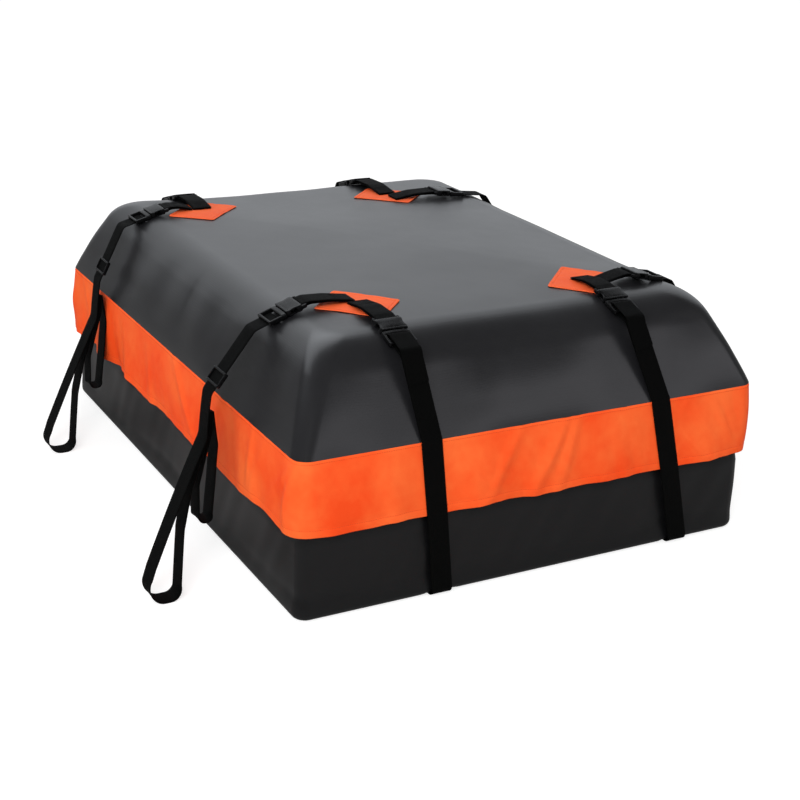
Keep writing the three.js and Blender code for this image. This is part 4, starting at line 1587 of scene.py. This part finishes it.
@dataclass
class SideStrap:
    """The side strap: through the plug and the slider, over the edge, into a long loop and a short one."""

    line: Line
    finish: Material
    thread: Material

    def run(self) -> tuple[Array, Array, Array]:
        """The straight run.

        Returns:
            Three places (h, z): in the plug, at the shoulder bend and over the edge.
        """
        line = self.line
        bend_at = max((BAG.half_width - 0.072 - line.mouth) / np.cos(line.tilt), 0.059)
        return (np.array(line.frame(0.013, WEB_LEVEL)), np.array(line.frame(bend_at, WEB_LEVEL)),
                np.array([line.hang, BAG.seam + 0.033]))

    def loops(self) -> list[list[tuple[float, ...]]]:
        """The paths of both loops.

        Returns:
            Corner points (h, z, radius) of the whole strap with its long loop, and of the short loop.
        """
        first, bend, over = self.run()
        hang, top, spread = self.line.hang, BAG.seam + 0.001, self.line.corner.spread
        layers = [hang + 0.0052 - 0.0026 * layer for layer in (1, 2, 3)]
        return [
            [tuple(first), (*bend, 0.014), (*over, 0.018), (hang + 0.013, 0.244, 0.040),
             (hang + 0.064 + 0.064 * spread, 0.052, 0.060), (hang + 0.082 + 0.072 * spread, 0.0013, 0.022),
             (hang + 0.040 + 0.052 * spread, 0.0013, 0.020), (hang + 0.042 + 0.028 * spread, 0.105, 0.080),
             (hang + 0.036 + 0.012 * spread, 0.168, 0.060), (hang + 0.007, 0.253, 0.040), (layers[0], top)],
            [(layers[1], top), (hang + 0.0036, 0.253, 0.040), (hang + 0.035, 0.172, 0.060),
             (hang + 0.042, 0.112, 0.009), (hang + 0.021, 0.112, 0.009), (hang + 0.007, 0.172, 0.060),
             (hang - 0.005, 0.233, 0.040), (layers[2], top)],
        ]

    def build(self) -> Piece:
        """Makes both loops and the sewn tack that joins their layers.

        Returns:
            The webbing.
        """
        parts, stitches = MeshParts(), MeshParts()
        for index, loop in enumerate(self.loops()):
            middle = self.line.trace(loop, 0.004)
            wide, out = ribbon(parts, middle, self.line.across, seed=index + seed_of(self.line.name))
            if index == 0:
                side = self.line.corner.side.value
                past_edge = (middle[:, 2] < 0.290) & (middle[:, 0] * side > self.line.hang - 0.01)
                at_edge = int(np.argmax(past_edge))
                start = run_along(middle)[at_edge]
                outwards = np.sign(out[at_edge, 0] * side)
                place = on_strap(middle, wide, out, False, outwards * (WEB.thick / 2 + THREAD_LIFT))
                sewn_box(stitches, place, start + 0.002, start + 0.024, BOX_HALF, False)
        name = self.line.corner.name
        piece = parts.build(f"side_webbing_{name}", self.finish, 50)
        dress(piece, "root", "webbing", f"side_strap_{name}")
        dress(stitches.build(f"side_stitches_{name}", self.thread), "root", "webbing")
        return piece


@dataclass
class LongStrap:
    """One strap from the front plug over the shoulder, under the tub and up to the back plug."""

    side: Side
    finish: Material

    @staticmethod
    def tail(line: Line) -> Array:
        """The middle line of a free end, over the plug, clear of its slide, and down on the strap.

        Args:
            line: the long strap's line at that end.

        Returns:
            (n, 3) places.
        """
        bend = np.array(line.frame(END_BEND, WEB_LEVEL))
        down = unit(np.array(SEAM_PASS) - bend)
        lifted = bend + np.array([-down[1], down[0]]) * 0.0025
        corners = [line.frame(0.0115, 0.0098), (*line.frame(0.0150, 0.0119), 0.003),
                   (*line.frame(0.0590, 0.0119), 0.014), (*(lifted + down * 0.014), 0.020),
                   tuple(lifted + down * 0.046)]
        return line.trace(corners, 0.003, 9)

    @staticmethod
    def half(line: Line) -> Array:
        """The middle line of one half, from the plug over the shoulder and down to the floor.

        Args:
            line: the long strap's line at that end.

        Returns:
            (n, 3) places.
        """
        corners = [tuple(line.frame(0.013, WEB_LEVEL)), (*line.frame(END_BEND, WEB_LEVEL), 0.014),
                   (*SEAM_PASS, 0.014), (0.5796, BAG.hem, 0.060), (*FLOOR_PASS, 0.015),
                   (0.540, FLOOR_PASS[1])]
        return line.trace(corners, 0.004)

    def build(self) -> Piece:
        """Makes the webbing; under the tub it runs straight from its front place to its back one.

        Returns:
            The webbing.
        """
        lines = {end: end_line(end, self.side) for end in End}
        whole = np.concatenate([self.half(lines[End.FRONT]), self.half(lines[End.BACK])[::-1]])
        parts, across = MeshParts(), np.array([1.0, 0, 0])
        ribbon(parts, filled(whole, 0.006), across, seed=3 + self.side.value)
        for end, line in lines.items():
            ribbon(parts, self.tail(line), across, seed=8 + end.value)
        word = self.side.name.lower()
        piece = parts.build(f"long_webbing_{word}", self.finish, 50)
        return dress(piece, "root", "webbing", f"long_strap_{word}")


# Buckles and strap sliders


@dataclass(frozen=True)
class Slab:
    """A plate with rounded corners and edges, drawn in (u, v, w)."""

    u: tuple[float, float]
    v: tuple[float, float]
    w: tuple[float, float]
    corner: float = 0.0012
    edge: float = 0.0006
    crown: float = 0.0
    waist: float = 0.0
    flare: float = 0.0

    def points(self) -> tuple[Array, Array, Array]:
        """Rings of points from the underside's middle to the top's.

        The crown lifts the top's middle, the waist draws the plate's sides in half way along it, and the
        flare widens its far end.

        Returns:
            u, v and w, each (rows, columns).
        """
        half_u, half_v = (self.u[1] - self.u[0]) / 2, (self.v[1] - self.v[0]) / 2
        centre_u, centre_v = (self.u[1] + self.u[0]) / 2, (self.v[1] + self.v[0]) / 2
        angle = np.linspace(0, np.pi / 2, 4)
        edge = min(self.edge, half_u * 0.9, half_v * 0.9, (self.w[1] - self.w[0]) * 0.45)
        inset = np.concatenate([edge * (1 - np.sin(angle)), edge * (1 - np.cos(angle))])[:, None]
        level = np.concatenate([self.w[0] + edge * (1 - np.cos(angle)),
                                self.w[1] - edge * (1 - np.sin(angle))])[:, None]
        radius = np.maximum(min(self.corner, half_u * 0.98, half_v * 0.98) - inset, 0.00005)
        shape = rounded_outline(half_u - inset, half_v - inset, radius, 4, (8, 8))
        share = np.array([0.8, 0.55, 0.3])[:, None]
        u = np.concatenate([shape["x"][:1] * share[::-1], shape["x"], shape["x"][-1:] * share])
        v = np.concatenate([shape["y"][:1] * share[::-1], shape["y"], shape["y"][-1:] * share])
        w = np.concatenate([np.full((3, 1), self.w[0]), level, np.full((3, 1), self.w[1])]) + 0 * u
        top = np.clip((w - self.w[0]) / (self.w[1] - self.w[0]), 0, 1)
        w += self.crown * top * (1 - (v / half_v) ** 2) * (1 - (u / half_u) ** 4)
        v *= 1 - self.waist * np.exp(-((u / (half_u * 0.55)) ** 2)) + self.flare * (u / half_u)
        return u + centre_u, v + centre_v, w


@dataclass
class Moulding:
    """A moulded part made of plates, laid on the bag by a function of (u, v, w)."""

    slabs: tuple[Slab, ...]
    edge_row: int = 5

    def build(self, name: str, lay: Lay, finish: Material) -> Piece:
        """Makes the part's mesh in place.

        Args:
            name: the piece's name.
            lay: the function that turns (u, v, w) to places of the bag.
            finish: its material.

        Returns:
            The piece.
        """
        parts = MeshParts()
        for slab in self.slabs:
            u, v, w = slab.points()
            up = run_along(np.stack([u[:, 0], w[:, 0]], 1))
            parts.sweep(lay(u, v, w), round_length(u[self.edge_row], v[self.edge_row]), up)
        return parts.build(name, finish, 35)


def millimetres(*rows: tuple[float, ...], **shared: float) -> tuple[Slab, ...]:
    """Plates from rows of numbers, mirrored across where v0 is above zero.

    Args:
        rows: (u0, u1, v0, v1, w0, w1) in millimetres for each.
        shared: what they all have of the plate's other sizes.

    Returns:
        The plates.
    """
    slabs = []
    for row in rows:
        u0, u1, v0, v1, w0, w1 = (value / 1000 for value in row)
        sides = [(v0, v1)] + ([(-v1, -v0)] if v0 > 0 else [])
        slabs += [Slab((u0, u1), v, (w0, w1), **shared) for v in sides]
    return tuple(slabs)


SOCKET = Moulding(
    (Slab((-0.030, -0.0005), (-0.025, 0.025), (0.0092, 0.0116), 0.0050, 0.0012, 0.0009, 0.10),
     Slab((-0.030, -0.0005), (-0.025, 0.025), (0.0004, 0.0032), 0.0050, 0.0010, 0.0, 0.10))
    + millimetres((-30, -20, 19.6, 24.6, 2.4, 10.2), (-8.5, -0.8, 19.6, 24.8, 2.4, 10.2),
                  corner=0.0018, edge=0.0010)
    + millimetres((-30, -23.5, -20.5, 20.5, 2.6, 10.0), corner=0.001, edge=0.0006)
    + millimetres((-38, -27, 19.8, 24.8, 2.4, 8.8), corner=0.0024, edge=0.0014)
    + (Slab((-0.038, -0.034), (-0.022, 0.022), (0.0040, 0.0070), 0.0008, 0.0013),
       Slab((-0.0045, 0.0), (-0.0235, 0.0235), (0.0102, 0.0120), 0.0016, 0.0008, 0.0004)))

PLUG = Moulding(
    (Slab((0.0, 0.0100), (-0.0235, 0.0235), (0.0046, 0.0096), 0.0030, 0.0014, 0.0010),
     Slab((0.0295, 0.0340), (-0.0245, 0.0245), (0.0048, 0.0092), 0.0018, 0.0016))
    + millimetres((0, 34, 19.8, 25.0, 0.6, 9.0), corner=0.0022, edge=0.0014)
    + millimetres((20, 24, -20.4, 20.4, 0.6, 2.0), corner=0.0008, edge=0.0005)
    + millimetres((-17, 2, -4, 4, 4.8, 8.0), corner=0.0016, edge=0.0008)
    + millimetres((-18, 2, 11.2, 16.4, 4.8, 8.0), (-18, -11.5, 12.0, 18.6, 4.8, 8.0),
                  corner=0.0018, edge=0.0010))

STRAP_SLIDER = Moulding(
    millimetres((-14, 14, 19.8, 24.5, -3.2, 3.2), corner=0.0026, edge=0.0016)
    + millimetres((-14, -9.8, -24.0, 24.0, 1.3, 3.4), (9.8, 14, -24.0, 24.0, 1.3, 3.4),
                  corner=0.0018, edge=0.0009)
    + millimetres((-2, 2, -20.4, 20.4, -2.8, -1.2), corner=0.0008, edge=0.0006))


def strap_slider_lay(strap: SideStrap, from_end: float = 0.028) -> Lay:
    """The function that lays a strap slider on the straight run of its side strap.

    Args:
        strap: the side strap.
        from_end: how far before the run's end its middle lies.

    Returns:
        A function of the slider's axes (u, v, w) that gives places of the bag.
    """
    _, bend, over = strap.run()
    length = float(np.linalg.norm(over - bend))
    along = (over - bend) / length

    def lay(u: Array, v: Array, w: Array) -> Array:
        """Points of the bag from the slider's axes."""
        at = u + length - from_end
        h = bend[0] + along[0] * at - along[1] * w
        z = bend[1] + along[1] * at + along[0] * w
        return strap.line.hard(h, z, v)

    return lay


# Zip


@dataclass
class Zip:
    """The hidden zip: tapes and a coil along the left side, the front and the right side, and two sliders."""

    tape: Material
    coil: Material
    metal: Material
    pitch: float = 0.0030
    reach: float = 0.531
    half_width: float = 0.014
    row_shift: float = 0.0017
    coil_stand: float = 0.0020
    half_gap: float = 0.008

    def track(self) -> tuple[Array, Array]:
        """The wall that the zip follows.

        Returns:
            (n, 2) points and (n, 2) outward normals.
        """
        size = np.ones((1, 1))
        shape = rounded_outline(BAG.wall_x * size, BAG.wall_y * size, BAG.wall_corner * size, 10, (60, 120))
        x, y, nx, ny = (shape[key][0] for key in ("x", "y", "nx", "ny"))
        first, last = (int(np.argmin(np.hypot(x - side.value * BAG.wall_x, y - self.reach))) for side in Side)
        order = np.arange(first, last + (len(x) if last < first else 0) + 1) % len(x)
        return np.stack([x[order], y[order]], 1), np.stack([nx[order], ny[order]], 1)

    def build(self) -> None:
        """Makes the tapes, the coil's teeth, the sliders and their pulls."""
        at, normal = self.track()
        section = np.array([(0.3, -14), (1.2, -13.8), (1.3, -3), (1.3, -0.3), (1.3, 0.3), (1.3, 3),
                            (1.2, 13.8), (0.3, 14)]) / 1000
        rings = np.concatenate([at[:, None] + normal[:, None] * section[None, :, :1],
                                np.broadcast_to(BAG.zip_line + section[None, :, 1:], (len(at), 8, 1))], 2)
        run = run_along(at)
        parts = MeshParts()
        parts.sweep(rings, closed(section[:, 1]), run)
        tape = dress(parts.build("zip_tapes", self.tape, 30), "root", "zip_tape", "zip_chain")
        line = np.concatenate([at + normal * self.coil_stand, np.full((len(at), 1), BAG.zip_line)], 1)
        teeth = MeshParts()
        out = np.concatenate([normal, np.zeros((len(at), 1))], 1)
        for shift in (-self.row_shift, self.row_shift):
            tooth_row(teeth, line + np.array([0, 0, shift]), out, self.pitch)
        dress(teeth.build("zip_coil_teeth", self.coil), "root", "zip_tape")
        for side in Side:
            self.slider(side)

    def slider(self, side: Side) -> None:
        """Makes one slider with its pull tab, which ride together along the zip.

        Args:
            side: the side that it opens towards.
        """
        word = side.name.lower()
        middle = side.value * self.half_gap

        def lay(u: Array, v: Array, w: Array) -> Array:
            """Points of the bag from u along the zip, v up and w out from the front wall."""
            return np.stack([middle + u, -BAG.wall_y - w, BAG.zip_line + v], -1)

        body = Moulding(millimetres((-7, 7, -5.5, 5.5, 3.5, 6.0), corner=0.0030, edge=0.0009)
                        + millimetres((-6.6, 6.6, 4.2, 5.4, 1.9, 4.4), corner=0.0005, edge=0.0003)
                        + millimetres((-5.0, -3.8, -1.6, 1.6, 5.6, 6.2), (3.8, 5.0, -1.6, 1.6, 5.6, 6.2),
                                      corner=0.0005, edge=0.0002))
        tab = Moulding((Slab((-0.0040, 0.0040), (-0.0318, 0.0036), (0.00632, 0.00765), 0.0038, 0.0004),
                        Slab((-0.0026, 0.0026), (-0.0285, -0.0125), (0.00745, 0.00775), 0.0024, 0.0001)))
        for moulding, piece, node in ((body, "slider_body", "zip_slider"), (tab, "slider_pull", "zip_pull")):
            made = moulding.build(f"{piece}_{word}", lay, self.metal)
            dress(made, f"slider_{word}", "zip_metal", f"{node}_{word}")


# Picture


@dataclass(frozen=True)
class Panel:
    """A soft light that faces the bag's middle, either mirrored by the finishes or lighting them."""

    name: str
    at: tuple[float, float, float]
    size: tuple[float, float]
    power: float
    colour: Colour = (1.0, 1.0, 1.0)
    glossy: bool = False
    aim: float = 0.25

    def build(self) -> None:
        """Adds the light, unseen by the camera: a glossy one is only mirrored, any other only lights."""
        data = bpy.data.lights.new(self.name, "AREA")
        data.shape = "RECTANGLE"
        data.size, data.size_y = self.size
        data.energy = self.power
        data.color = self.colour
        lamp = placed(self.name, data)
        back = unit(np.array(self.at) - np.array([0, 0, self.aim]))
        right = unit(np.cross([0, 0, 1.0], back))
        turn = np.stack([right, np.cross(back, right), back], 1)
        lamp.matrix_world = Matrix.Translation(self.at) @ Matrix(turn.tolist()).to_4x4()
        lamp.visible_camera = False
        lamp.visible_glossy = self.glossy
        lamp.visible_diffuse = not self.glossy


@dataclass
class Studio:
    """The white sweep, the soft lights and the photograph's camera."""

    azimuth: float = -28.886
    height: float = 21.343
    roll: float = 2.152
    focal: float = 1571.6
    at: tuple[float, float, float] = (-1.3801, -2.5778, 1.2583)
    lift: float = 0.70
    ambient: float = 0.62
    mirrored: float = 0.10
    floor_reach: float = 40.0
    photo_pixels: int = 800

    def floor(self) -> None:
        """A pale floor that keeps the shadow and goes to white for the camera."""
        mesh = bpy.data.meshes.new("floor")
        edge = self.floor_reach
        mesh.from_pydata([(-edge, -edge, 0), (edge, -edge, 0), (edge, edge, 0), (-edge, edge, 0)], [],
                         [(0, 1, 2, 3)])
        n = Nodes("floor_white")
        n.fix(Base_Color=(0.50, 0.50, 0.50, 1), Roughness=1.0, Specular_IOR_Level=0.0)
        glow = n.node("ShaderNodeEmission", Color=(1, 1, 1, 1))
        path = n.node("ShaderNodeLightPath")
        n.join(n.maths("MULTIPLY", path.outputs["Is Camera Ray"], self.lift), glow.inputs["Strength"])
        both = n.node("ShaderNodeAddShader")
        n.join(n.shader.outputs[0], both.inputs[0])
        n.join(glow.outputs[0], both.inputs[1])
        n.join(both.outputs[0], n.tree.nodes["Material Output"].inputs["Surface"])
        mesh.materials.append(n.material)
        placed("floor", mesh)

    def world(self) -> None:
        """A white backdrop: full for the camera, even for soft light and dim in reflections."""
        world = bpy.data.worlds.new("backdrop")
        bpy.context.scene.world = world
        world.use_nodes = True
        tree = world.node_tree
        background = tree.nodes["Background"]
        background.inputs["Color"].default_value = (1, 1, 1, 1)
        path = tree.nodes.new("ShaderNodeLightPath")
        strength = None
        for ray, level in (("Is Camera Ray", 1.0), ("Is Glossy Ray", self.mirrored)):
            step = tree.nodes.new("ShaderNodeMath")
            step.operation = "MULTIPLY_ADD"
            step.inputs[1].default_value = level - self.ambient
            step.inputs[2].default_value = self.ambient
            tree.links.new(path.outputs[ray], step.inputs[0])
            if strength is not None:
                tree.links.new(strength, step.inputs[2])
            strength = step.outputs[0]
        tree.links.new(strength, background.inputs["Strength"])

    def lights(self) -> None:
        """A key and two fills for soft light, and three panels that only the finishes mirror."""
        cool = (0.91, 0.95, 1.0)
        for panel in (
            Panel("key", (-3.2, -3.8, 3.4), (2.4, 2.0), 156),
            Panel("front_fill", (-0.6, -5.0, 2.4), (7.0, 3.4), 31),
            Panel("left_fill", (-5.0, -0.4, 2.4), (7.0, 3.4), 50),
            Panel("back_sheen", (1.5, 3.9, 2.4), (11.0, 4.4), 132, cool, True),
            Panel("top_sheen", (-0.9, 2.4, 4.4), (6.4, 2.6), 125, cool, True),
            Panel("front_sheen", (2.25, -3.6, 2.05), (5.4, 1.5), 32, (0.96, 0.95, 1.0), True),
        ):
            panel.build()

    def camera(self) -> None:
        """The camera of the photograph: its place, its turn with a slight roll, and its lens."""
        a, e, r = np.radians([self.azimuth, self.height, self.roll])
        back = np.array([np.sin(a) * np.cos(e), -np.cos(a) * np.cos(e), np.sin(e)])
        right = unit(np.cross(-back, [0, 0, 1.0]))
        up = np.cross(right, -back)
        right, up = right * np.cos(r) + up * np.sin(r), up * np.cos(r) - right * np.sin(r)
        data = bpy.data.cameras.new("photo_camera")
        data.sensor_width = 36
        data.lens = self.focal / self.photo_pixels * data.sensor_width
        data.clip_end = 60
        camera = placed("photo_camera", data)
        turn = Matrix(np.stack([right, up, back], 1).tolist()).to_4x4()
        camera.matrix_world = Matrix.Translation(self.at) @ turn
        bpy.context.scene.camera = camera

    def build(self) -> None:
        """Sets the whole picture."""
        self.floor()
        self.world()
        self.lights()
        self.camera()
        bpy.context.scene.view_settings.view_transform = "Standard"


# The bag


class RoofBag:
    """The whole bag, put together from its sub-assemblies."""

    def __init__(self) -> None:
        """Makes the finishes."""
        self.finish = Finishes()

    def shells(self) -> None:
        """The soft shells and the storm flap."""
        TubShell(self.finish.tub).build()
        CoverShell(self.finish.cover).build()
        StormFlap(self.finish.flap, self.finish.bright_thread).build()

    def harness(self) -> None:
        """Patches, webbings, buckles and strap sliders."""
        f = self.finish
        for corner in CORNERS:
            Patch(corner, f.patch, f.bright_thread).build()
            strap = SideStrap(LINES[f"side_{corner.name}"], f.webbing, f.dark_thread)
            strap.build()
            glide = STRAP_SLIDER.build(f"strap_slider_{corner.name}", strap_slider_lay(strap), f.plastic)
            dress(glide, f"tri_glide_{corner.name}", "buckle_plastic", f"tri_glide_{corner.name}")
        for name, line in LINES.items():
            Anchor(line, f.webbing, f.dark_thread).build()
            for moulding, word, body in ((SOCKET, "socket", "root"), (PLUG, "plug", f"plug_{name}")):
                piece = moulding.build(f"{word}_shell_{name}", line.lay, f.plastic)
                dress(piece, body, "buckle_plastic", f"{word}_{name}")
        for side in Side:
            LongStrap(side, f.webbing).build()

    def build(self) -> None:
        """Builds every sub-assembly."""
        self.shells()
        self.harness()
        Zip(self.finish.tape, self.finish.coil, self.finish.metal).build()


def main() -> None:
    """Builds the bag and the picture."""
    RoofBag().build()
    Studio().build()


if __name__ == "__main__":
    main()
